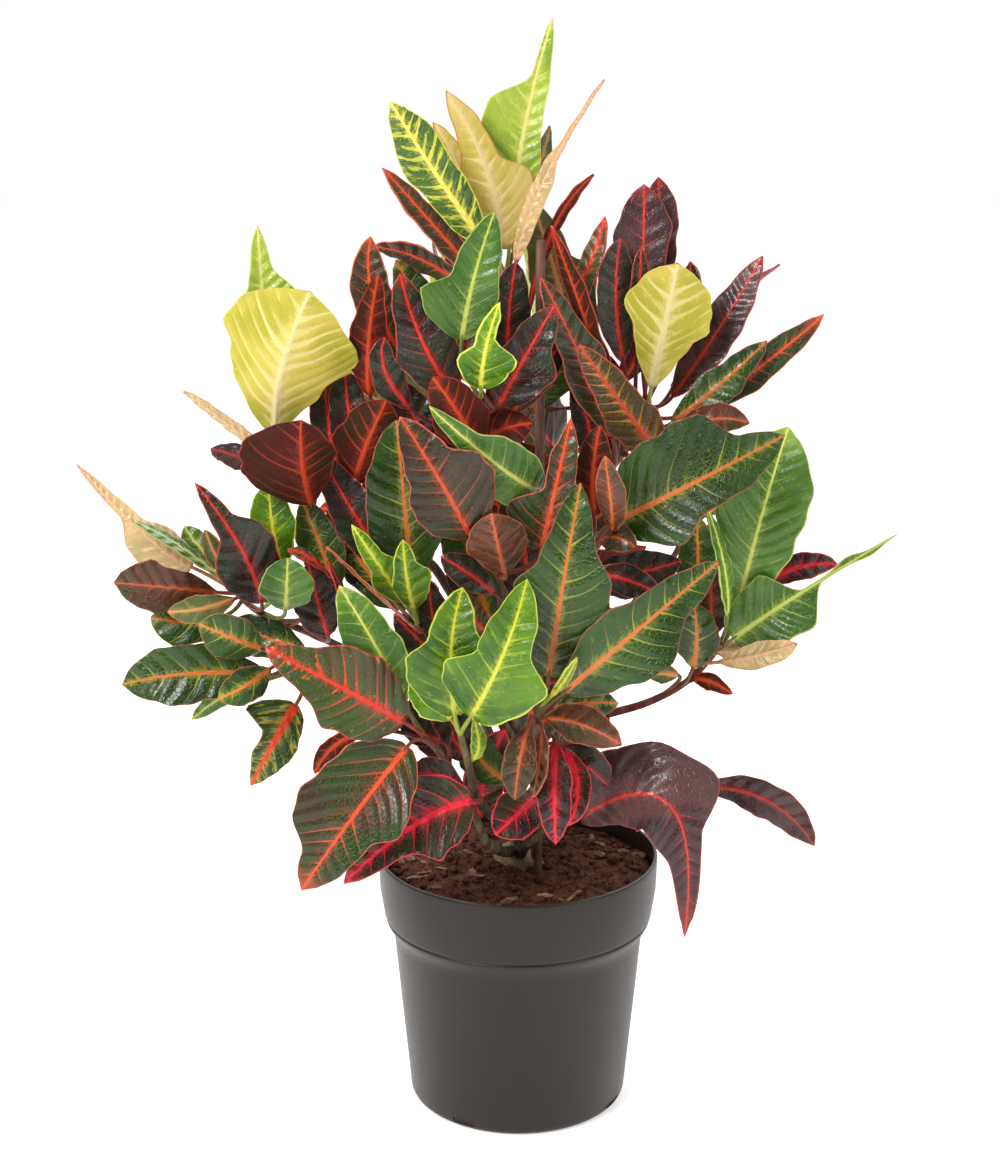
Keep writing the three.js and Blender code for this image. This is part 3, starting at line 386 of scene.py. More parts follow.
def woody_grain():
    """Fibres or bark that run up a stem, with fine pores."""
    group, given, result = start_group(
        "woody grain", TWO_COLOURS + [("Stretch", "Vector")], COLOUR_AND_RELIEF)
    fibres = speckle(group, in_millimetres(group, given["Stretch"]), 1.0, 5, 0.65, 0.3)
    cloud = speckle(group, in_millimetres(group), 0.05, 3, 0.5)
    share = ease(group, reckon(group, "MULTIPLY", fibres, cloud), 0.16, 0.38)
    feed(group, blend(group, share, given["Dark"], given["Light"]), result["Colour"])
    feed(group, fibres, result["Relief"])
    return group


WOODY_GRAIN = woody_grain()


def woody_material(name, dark, light, stretch, roughness=0.7):
    material, tree, shader = start_material(name, roughness, 0.35)
    values = {"Dark": dark, "Light": light, "Stretch": stretch}
    place_group(tree, shader, WOODY_GRAIN, values, 0.5, 0.7)
    return material


stake_low, stake_high = (np.array(corner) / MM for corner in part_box("stake"))
stake_centre = (stake_low + stake_high) / 2
stake_profile = [(0, stake_low[2]), (STAKE_RADIUS, stake_low[2])]
for joint in STAKE_JOINTS:
    stake_profile += [(STAKE_RADIUS - 0.15, joint - 5), (STAKE_RADIUS + 0.1, joint),
                      (STAKE_RADIUS - 0.2, joint + 1.6), (STAKE_RADIUS - 0.05, joint + 7)]
stake_profile += [(STAKE_RADIUS - 0.1, stake_high[2] - 0.5), (STAKE_TIP_RADIUS, stake_high[2]),
                  (0, stake_high[2])]
stake_points, stake_faces = turned_skin(stake_profile, STAKE_SIDES)
stake_points = np.array(stake_points) + [stake_centre[0], stake_centre[1], 0]
stake_cane = woody_material("stake cane", STAKE_BROWN, STAKE_PALE, (900, 900, 40))
stake = make_piece("stake_cane", stake_points, stake_faces, [stake_cane], 40)
take_place(stake, "stake")

# Woody stem. One upright trunk rooted in the soil, with a knot of old pale root at its
# foot, and a thin branch that rises from it to every leafy stem. Grey-brown ridged bark.

BARK_DARK = (0.045, 0.028, 0.018, 1)
BARK_PALE = (0.21, 0.15, 0.09, 1)
ROOT_PALE = (0.46, 0.33, 0.2, 1)
TRUNK = [(0, 0, 92), (-1, 2, 180), (-5, 3, 290), (-4.3, 3.9, 400.85)]
TRUNK_RADII = (6.5, 3.4)
BRANCH_RADII = (3.6, 2.4)
# How many sides, steps along its line and ridges a rod of bark has
TRUNK_ROD = (22, 90, 13)
BRANCH_ROD = (12, 30, 5)
BRANCH_GAP = 0.4
BRANCH_STRAIGHT = 9
BRANCH_SAG = 0.06
KNOT_RADIUS = 11
KNOT_HALF_HEIGHT = 10
KNOT_MIDDLE = (-1, -1, 151)
BRANCH_HEIGHTS = {
    "upper_middle": 320, "lower_middle": 235, "middle_left": 225, "upper_right": 300,
    "middle_right": 255, "right": 205, "lower_right": 165, "lime_front": 170,
    "lower_left": 156, "lower_right_foot": 152, "left": 215, "lower_far_left": 190,
    "upper_left": 270,
}


def unit(vectors):
    return vectors / np.linalg.norm(vectors, axis=-1, keepdims=True)


def curve_point(points, share):
    """A point at a share of 0 to 1 along the smooth curve through the given points."""
    points = np.asarray(points, float)
    spans = len(points) - 1
    i = min(int(share * spans), spans - 1)
    part = share * spans - i
    start, end = points[i], points[i + 1]
    before = points[i - 1] if i > 0 else 2 * start - end
    after = points[i + 2] if i + 2 <= spans else 2 * end - start
    leave, arrive = (end - before) / 2, (after - start) / 2
    return (start + leave * part + (3 * (end - start) - 2 * leave - arrive) * part ** 2
            + (2 * (start - end) + leave + arrive) * part ** 3)


def round_rod(line, radii, sides):
    """Points and faces of a closed rod along a line of points, with a radius at each."""
    line = np.asarray(line, float)
    headings = unit(np.gradient(line, axis=0))
    across = np.array([1.0, 0.0, 0.0])
    turns = 2 * np.pi * np.arange(sides) / sides
    points = []
    for centre, heading, radius in zip(line, headings, radii):
        across = unit(across - heading * across.dot(heading))
        up = np.cross(heading, across)
        points.append(centre + radius * (np.outer(np.cos(turns), across)
                                         + np.outer(np.sin(turns), up)))
    rings = [tuple(range(i * sides, (i + 1) * sides)) for i in range(len(line))]
    return np.concatenate(points), band_faces(rings) + [rings[0][::-1], rings[-1]]


def bark_rod(points, radii, sides, steps, ridges):
    """A rod whose girth swells a little at old leaf scars, or ridges."""
    shares = np.linspace(0, 1, steps + 1)
    line = [curve_point(points, share) for share in shares]
    girth = radii[0] + (radii[1] - radii[0]) * shares
    girth *= 1 + 0.05 * np.sin(shares * ridges * 2 * np.pi) ** 8
    return round_rod(line, girth, sides)


def trunk_point_at(height):
    share = 0.5
    step = 0.25
    while step > 1e-4:
        share += step if curve_point(TRUNK, share)[2] < height else -step
        step /= 2
    return curve_point(TRUNK, share)


def branch_line(height, foot, heading):
    start = trunk_point_at(height)
    end = foot - BRANCH_GAP * heading
    before = foot - BRANCH_STRAIGHT * heading
    middle = (start + before) / 2
    middle[2] -= BRANCH_SAG * np.linalg.norm(before - start)
    return [start, middle, before, end]


# Each leafy stem's line, noted as it looks from a step in front of the plant: across
# and up on the upright plane through the pot's axis, then how far it stands forward.
STEM_LINES = {
    "crown": [(-4, 402, -4), (-7, 455, -4), (-9, 505, -3)],
    "upper_middle": [(-8, 372, 20), (-16, 410, 34), (-22, 436, 42)],
    "lower_middle": [(-6, 272, 38), (-10, 305, 54), (-11, 330, 62)],
    "middle_left": [(-22, 262, 30), (-45, 285, 42), (-60, 300, 50)],
    "upper_right": [(27, 352, 0), (55, 395, 6), (75, 433, 10)],
    "middle_right": [(10, 300, 34), (32, 330, 46), (47, 350, 56)],
    "right": [(52, 243, 12), (78, 251, 19), (102, 265, 26), (122, 288, 33)],
    "lower_right": [(2, 192, 50), (8, 225, 70), (14, 248, 82)],
    "lime_front": [(-27, 196, 60), (-31, 215, 78), (-35, 231, 88)],
    "lower_left": [(-22, 168, 48), (-34, 196, 60), (-46, 217, 70), (-56, 229, 74)],
    "lower_right_foot": [(9, 162, 22), (18, 169, 32), (28, 174, 40)],
    "left": [(-62, 262, 4), (-115, 290, 15), (-152, 306, 22), (-168, 320, 26)],
    "lower_far_left": [(-42, 240, 24), (-95, 258, 38), (-138, 276, 50)],
    "upper_left": [(-55, 338, 0), (-102, 378, 8), (-128, 402, 12)],
}
# Stems on the far side grow like a noted one, swung round the axis and set lower
FAR_STEMS = {
    "back_top": ("upper_middle", 180, 14),
    "back_upper_right": ("upper_left", -118, 16),
    "back_upper_left": ("upper_right", 132, 18),
    "back_middle": ("lower_middle", 172, 12),
    "back_right": ("left", -140, 12),
    "back_left": ("right", 140, 10),
    "back_middle_left": ("middle_right", 165, 14),
    "back_lower_right": ("lower_left", 205, -14),
    "back_lower_left": ("lower_right", 150, -16),
}
EYE = np.array([-11, -1144.25, 616.27])


def seen(across, up, forward):
    share = forward / -EYE[1]
    return np.array([across + (EYE[0] - across) * share, -forward, up + (EYE[2] - up) * share])


def swung(point, degrees):
    turn = math.radians(degrees)
    x, y, z = point
    return np.array([x * math.cos(turn) - y * math.sin(turn),
                     x * math.sin(turn) + y * math.cos(turn), z])


def root_knot():
    """The old root crown: an uneven ball, wider than high, half sunk in the soil."""
    profile = [(KNOT_RADIUS * math.sin(a), -KNOT_HALF_HEIGHT * math.cos(a))
               for a in np.linspace(0, math.pi, 16)]
    profile[0], profile[-1] = (0, -KNOT_HALF_HEIGHT), (0, KNOT_HALF_HEIGHT)
    points, faces = turned_skin(profile, 28)
    shaped = []
    for x, y, z in points:
        pull = 1 + 0.45 * noise.fractal(Vector((x, y, z)) * 0.12, 1.0, 2.0, 4)
        shaped.append(np.array([x * pull, y * 0.8 * pull, z * pull]) + KNOT_MIDDLE)
    return shaped, faces


stem_curves = {name: [seen(*point) for point in line] for name, line in STEM_LINES.items()}
branch_feet = dict(BRANCH_HEIGHTS)
for name, (like, bearing, lower) in FAR_STEMS.items():
    stem_curves[name] = [swung(point, bearing) for point in stem_curves[like]]
    branch_feet[name] = BRANCH_HEIGHTS[like] - lower

trunk_form = ([], [])
add_form(trunk_form, *bark_rod(TRUNK, TRUNK_RADII, *TRUNK_ROD))
for name, height in branch_feet.items():
    points = np.array(stem_curves[name])
    heading = unit(curve_point(points, 1e-4) - points[0])
    path = branch_line(height, points[0], heading)
    add_form(trunk_form, *bark_rod(path, BRANCH_RADII, *BRANCH_ROD))
bark = woody_material("trunk bark", BARK_DARK, BARK_PALE, (240, 240, 60), 0.8)
trunk = make_piece("trunk_bark", *trunk_form, [bark])
take_place(trunk, "trunk")
old_root = woody_material("old root", BARK_PALE, ROOT_PALE, (150, 150, 90), 0.85)
knot = make_piece("root_knot", *root_knot(), [old_root])
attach(knot, "root")

# Leaves. Thick, waxy croton leaves with lobed, waved blades on round stalks, set along
# the leafy stems. Young ones are lime with yellow veins, old ones green to near black
# with orange or red midribs, side veins and margins; undersides are maroon or tan.

MARK_COLOURS = ("Ground", "Cloud", "Patch", "Vein", "Rib", "Margin")
MARK_SIZES = ("Patch Cover", "Vein Gap", "Vein Width", "Vein Show", "Rib Width",
              "Margin Width", "Sunken")


def leaf_marks():
    """Colour, relief and wax of a blade: midrib, side veins, net, patches and margin."""
    sockets = ([(name, "Color") for name in MARK_COLOURS]
               + [(name, "Float") for name in MARK_SIZES])
    group, given, result = start_group(
        "leaf marks", sockets, COLOUR_AND_RELIEF + [("Wax", "Float")])

    def noted(name):
        return add_node(group, "Attribute", {}, "Fac", attribute_name=name)

    def sum_of(*values):
        return reduce(lambda first, second: reckon(group, "ADD", first, second), values)

    def times(*values):
        return reduce(lambda first, second: reckon(group, "MULTIPLY", first, second), values)

    def place(x, y, z):
        return add_node(group, "CombineXYZ", {0: x, 1: y, 2: z})

    across, along = noted("mm_across"), noted("mm_along")
    from_edge, along_share, luck = noted("mm_from_edge"), noted("share_along"), noted("luck")
    out = reckon(group, "ABSOLUTE", across)
    side = reckon(group, "SIGN", across)
    spot = place(across, along, times(luck, 971))
    wobble = reckon(group, "SUBTRACT", speckle(group, spot, 0.022, 1), 0.5)
    gap = given["Vein Gap"]
    bowed = sum_of(along, times(out, -0.6), times(out, out, -0.009), times(wobble, 16),
                   times(side, gap, 0.22), times(luck, gap))
    count = reckon(group, "DIVIDE", bowed, gap)
    step = reckon(group, "FRACT", count)
    from_vein = times(reckon(group, "ABSOLUTE", reckon(group, "SUBTRACT", step, 0.5)), gap)
    which = sum_of(reckon(group, "FLOOR", count), times(side, 57), times(luck, 911))
    dice = add_node(group, "TexWhiteNoise", {"W": which}, "Value", noise_dimensions="1D")
    strength = ease(group, dice, 0.1, 0.85, 0.05, 1)
    reach = ease(group, strength, 0, 1, 0.35, 1)
    edge_share = reckon(group, "DIVIDE", out, sum_of(out, from_edge, 0.01))
    width = times(given["Vein Width"], ease(group, edge_share, 0, 0.5, 2.2, 0.75))
    fade = ease(group, reckon(group, "DIVIDE", edge_share, reach), 0.45, 1.1, 1, 0.12)
    vein = times(ease(group, from_vein, times(width, 0.3), width, 1, 0), strength, fade)
    cells = add_node(group, "TexVoronoi", {"Vector": spot, "Scale": 0.42}, "Distance",
                     feature="DISTANCE_TO_EDGE")
    net = ease(group, cells, 0.0, 0.09, 1, 0)
    streak = place(times(bowed, 0.32), times(out, 0.1), times(luck, 613))
    near_vein = ease(group, from_vein, 0.2, 3.0, 0.1, 0)
    level = sum_of(speckle(group, streak, 1.0, 3, 0.6, 0.4), near_vein)
    bar = reckon(group, "SUBTRACT", 0.78, times(given["Patch Cover"], 0.5))
    patch = ease(group, level, bar, sum_of(bar, 0.1))
    cloud = ease(group, speckle(group, spot, 0.028, 2), 0.4, 0.62)
    rib_width = times(given["Rib Width"], ease(group, along_share, 0, 1, 1.25, 0.45))
    rib = ease(group, out, times(rib_width, 0.35), rib_width, 1, 0)
    bleed = ease(group, out, times(rib_width, 0.8), sum_of(times(rib_width, 2.2), 1.0), 0.55, 0)
    bleed = times(bleed, ease(group, speckle(group, streak, 2.2, 2), 0.42, 0.6))
    dots = ease(group, speckle(group, spot, 0.3, 1), 0.68, 0.74, 0, 0.65)
    branched = times(net, ease(group, edge_share, 0.05, 0.6, 0.4, 0.06))
    tip = times(ease(group, along_share, 0.86, 1.0), ease(group, luck, 0.45, 0.6, 0, 0.55))
    edge_width = times(given["Margin Width"], ease(group, wobble, -0.25, 0.25, 0.4, 1.5))
    margin = ease(group, from_edge, times(edge_width, 0.4), edge_width, 1, 0)

    colour = blend(group, cloud, given["Ground"], given["Cloud"])
    colour = blend(group, patch, colour, given["Patch"])
    colour = blend(group, dots, colour, given["Patch"])
    colour = blend(group, times(branched, given["Vein Show"]), colour, given["Vein"])
    colour = blend(group, times(vein, given["Vein Show"]), colour, given["Vein"])
    colour = blend(group, sum_of(bleed, tip), colour, given["Vein"])
    colour = blend(group, rib, colour, given["Rib"])
    colour = blend(group, margin, colour, given["Margin"])
    shade = {0: colour, "Scale": ease(group, luck, 0, 1, 0.8, 1.2)}
    feed(group, add_node(group, "VectorMath", shade, operation="SCALE"), result["Colour"])

    quilt = ease(group, from_vein, 0, times(gap, 0.5))
    raised = sum_of(times(quilt, given["Sunken"]), times(net, -0.12),
                    times(speckle(group, spot, 0.5, 2), 0.25))
    feed(group, raised, result["Relief"])
    feed(group, ease(group, speckle(group, spot, 0.11, 3), 0.35, 0.65), result["Wax"])
    return group


LEAF_MARKS = leaf_marks()


def paint(red, green, blue):
    """A colour from the 0 to 255 values of a screen colour."""
    def linear(value):
        value /= 255
        return value / 12.92 if value <= 0.04045 else ((value + 0.055) / 1.055) ** 2.4
    return (linear(red), linear(green), linear(blue), 1)


def leaf_face(name, colours, sizes, sunken, rough, sheen):
    material, tree, shader = start_material(name, sum(rough) / 2, sheen)
    values = dict(zip(MARK_COLOURS, (paint(*colour) for colour in colours)))
    values.update(zip(MARK_SIZES, (*sizes, sunken)))
    marks = place_group(tree, shader, LEAF_MARKS, values, 0.7, 0.8)
    gloss = ease(tree, marks["Wax"], 0, 1, *rough)
    tree.links.new(gloss, shader.inputs["Roughness"])
    return material


def stalk_streaks():
    """Soft streaks of two colours that run along a stalk."""
    group, given, result = start_group("stalk streaks", TWO_COLOURS, COLOUR_AND_RELIEF)
    streak = speckle(group, in_millimetres(group, (420, 420, 90)), 1.0, 3)
    share = ease(group, streak, 0.35, 0.65)
    feed(group, blend(group, share, given["Dark"], given["Light"]), result["Colour"])
    feed(group, streak, result["Relief"])
    return group


STALK_STREAKS = stalk_streaks()


def stalk_skin(name, dark, light):
    material, tree, shader = start_material(name, 0.45, 0.4)
    values = {"Dark": paint(*dark), "Light": paint(*light)}
    place_group(tree, shader, STALK_STREAKS, values, 0.3, 0.4)
    return material


# For each kind of leaf: ground, cloud, patch, vein, midrib and margin colours, then patch
# cover, vein gap, vein width, vein show, midrib width and margin width, then the stalk's
# two colours, and the name of its underside unless both faces are alike
UPPER_FACES = {
    "young": (((172, 198, 58), (132, 170, 42), (202, 212, 86), (230, 226, 116), (244, 238, 140),
        (220, 222, 104)), (0.35, 8.0, 0.9, 0.9, 1.9, 0.9), ((150, 160, 54), (180, 178, 82)),
        "lime"),
    "mottled": (((66, 100, 30), (46, 78, 22), (180, 186, 54), (222, 212, 78), (238, 226, 100),
        (212, 208, 76)), (0.42, 6.5, 0.9, 1.0, 2.3, 1.1), ((150, 160, 54), (180, 178, 82)),
        "lime"),
    "tan": (((218, 196, 112), (194, 180, 80), (222, 202, 120), (240, 220, 150), (240, 218, 148),
        (206, 160, 84)), (0.35, 7.0, 0.9, 0.9, 2.0, 0.9), ((160, 150, 64), (190, 168, 92)), "tan"),
    "lime": (((90, 132, 10), (52, 98, 9), (122, 154, 18), (188, 198, 44), (214, 216, 70),
        (206, 214, 80)), (0.26, 8.0, 0.6, 0.75, 1.5, 1.1), ((132, 152, 44), (164, 168, 66)),
        "lime"),
    "green": (((48, 80, 23), (33, 59, 18), (88, 108, 32), (166, 164, 56), (222, 120, 58),
        (160, 84, 60)), (0.14, 10.0, 0.55, 0.85, 1.8, 0.7), ((88, 84, 38), (120, 74, 44)),
        "green"),
    "olive": (((82, 122, 38), (62, 102, 30), (116, 148, 48), (168, 186, 76), (208, 216, 104),
        (178, 190, 92)), (0.18, 8.5, 0.45, 0.7, 1.5, 0.9), ((94, 102, 42), (120, 120, 58)),
        "green"),
    "spotted": (((44, 70, 26), (34, 56, 24), (150, 142, 44), (170, 140, 50), (226, 62, 34),
        (150, 110, 50)), (0.42, 8.0, 0.7, 0.8, 2.8, 0.7), ((110, 60, 34), (140, 80, 46)), "green"),
    "bronze": (((56, 48, 32), (40, 62, 26), (98, 56, 34), (188, 76, 42), (226, 80, 42),
        (206, 92, 62)), (0.18, 8.5, 0.6, 0.9, 1.6, 0.9), ((100, 50, 32), (132, 66, 42)), "dark"),
    "dark": (((42, 33, 30), (34, 47, 27), (78, 36, 30), (164, 42, 36), (220, 50, 42),
        (186, 56, 50)), (0.14, 9.5, 0.5, 0.65, 1.45, 0.75), ((92, 26, 24), (124, 42, 34)), "dark"),
    "purple": (((56, 37, 41), (84, 60, 58), (46, 26, 31), (154, 50, 48), (196, 56, 50),
        (166, 60, 58)), (0.16, 9.0, 0.55, 0.75, 1.3, 0.7), ((88, 28, 32), (118, 42, 42)), "dark"),
    "crimson": (((40, 28, 26), (38, 48, 23), (66, 22, 28), (212, 28, 50), (230, 34, 56),
        (216, 40, 60)), (0.12, 10.0, 0.8, 1.0, 2.2, 1.1), ((128, 26, 34), (160, 36, 44)), "red"),
    "red": (((54, 78, 30), (66, 60, 28), (182, 128, 46), (220, 58, 36), (230, 56, 42),
        (190, 56, 44)), (0.24, 7.5, 0.7, 0.9, 1.7, 0.8), ((136, 32, 26), (170, 52, 34)), "red"),
    "rust": (((88, 46, 26), (58, 54, 26), (118, 62, 32), (164, 82, 42), (196, 92, 48),
        (176, 84, 58)), (0.2, 8.0, 0.5, 0.65, 1.4, 0.8), ((130, 64, 34), (160, 86, 48)), None),
    "striped": (((74, 62, 28), (92, 50, 26), (104, 92, 36), (196, 124, 44), (214, 70, 46),
        (206, 74, 56)), (0.25, 6.5, 0.7, 0.95, 1.9, 0.9), ((120, 44, 30), (150, 66, 40)), None),
    "peach": (((196, 166, 116), (166, 148, 98), (214, 186, 134), (178, 128, 92), (208, 164, 118),
        (204, 150, 112)), (0.3, 6.0, 0.6, 0.7, 1.5, 0.8), ((160, 106, 70), (188, 130, 88)), None),
}
# The same without the stalk, for undersides that have their own colours
LOWER_FACES = {
    "lime": (((222, 202, 90), (190, 184, 62), (232, 212, 110), (245, 228, 150), (247, 230, 164),
        (224, 212, 92)), (0.3, 7.5, 1.7, 1.0, 3.0, 0.8)),
    "tan": (((230, 202, 118), (208, 188, 86), (234, 210, 130), (246, 222, 162), (244, 214, 150),
        (214, 158, 88)), (0.3, 7.0, 1.3, 1.0, 2.4, 0.8)),
    "green": (((88, 104, 60), (68, 86, 46), (108, 114, 62), (160, 132, 80), (206, 142, 90),
        (186, 112, 86)), (0.2, 9.0, 0.6, 0.7, 1.9, 0.9)),
    "dark": (((74, 26, 18), (50, 36, 18), (100, 40, 22), (180, 56, 30), (206, 72, 38),
        (172, 54, 38)), (0.2, 7.5, 0.9, 0.9, 2.0, 0.8)),
    "red": (((96, 26, 20), (70, 28, 20), (124, 38, 24), (196, 56, 34), (216, 74, 42),
        (188, 60, 46)), (0.25, 7.5, 0.8, 0.9, 2.1, 0.8)),
}
# How deep the veins are sunken, how rough from waxy to dull, and how strong the shine
UPPER_SURFACE = (0.9, (0.17, 0.34), 0.42)
LOWER_SURFACE = (0.35, (0.5, 0.62), 0.15)
TWIG_BARKS = {"brown": ((70, 52, 38), (122, 112, 70)), "red": ((74, 26, 20), (126, 52, 36))}
RED_TWIGS = ("right",)

leaf_skins = []
skin_numbers = {}
lower_skins = {kind: leaf_face(f"leaf underside {kind}", *marks, *LOWER_SURFACE)
               for kind, marks in LOWER_FACES.items()}
for kind, (*marks, stalk, underside) in UPPER_FACES.items():
    upper = leaf_face(f"leaf {kind}", *marks, *UPPER_SURFACE)
    lower = lower_skins.get(underside, upper)
    skin_numbers[kind] = len(leaf_skins)
    leaf_skins += [upper, lower, stalk_skin(f"stalk {kind}", *stalk)]
TWIG_SKIN = len(leaf_skins)
for kind, (dark, light) in TWIG_BARKS.items():
    leaf_skins.append(woody_material(
        f"twig bark {kind}", paint(*dark), paint(*light), (300, 300, 80), 0.6))

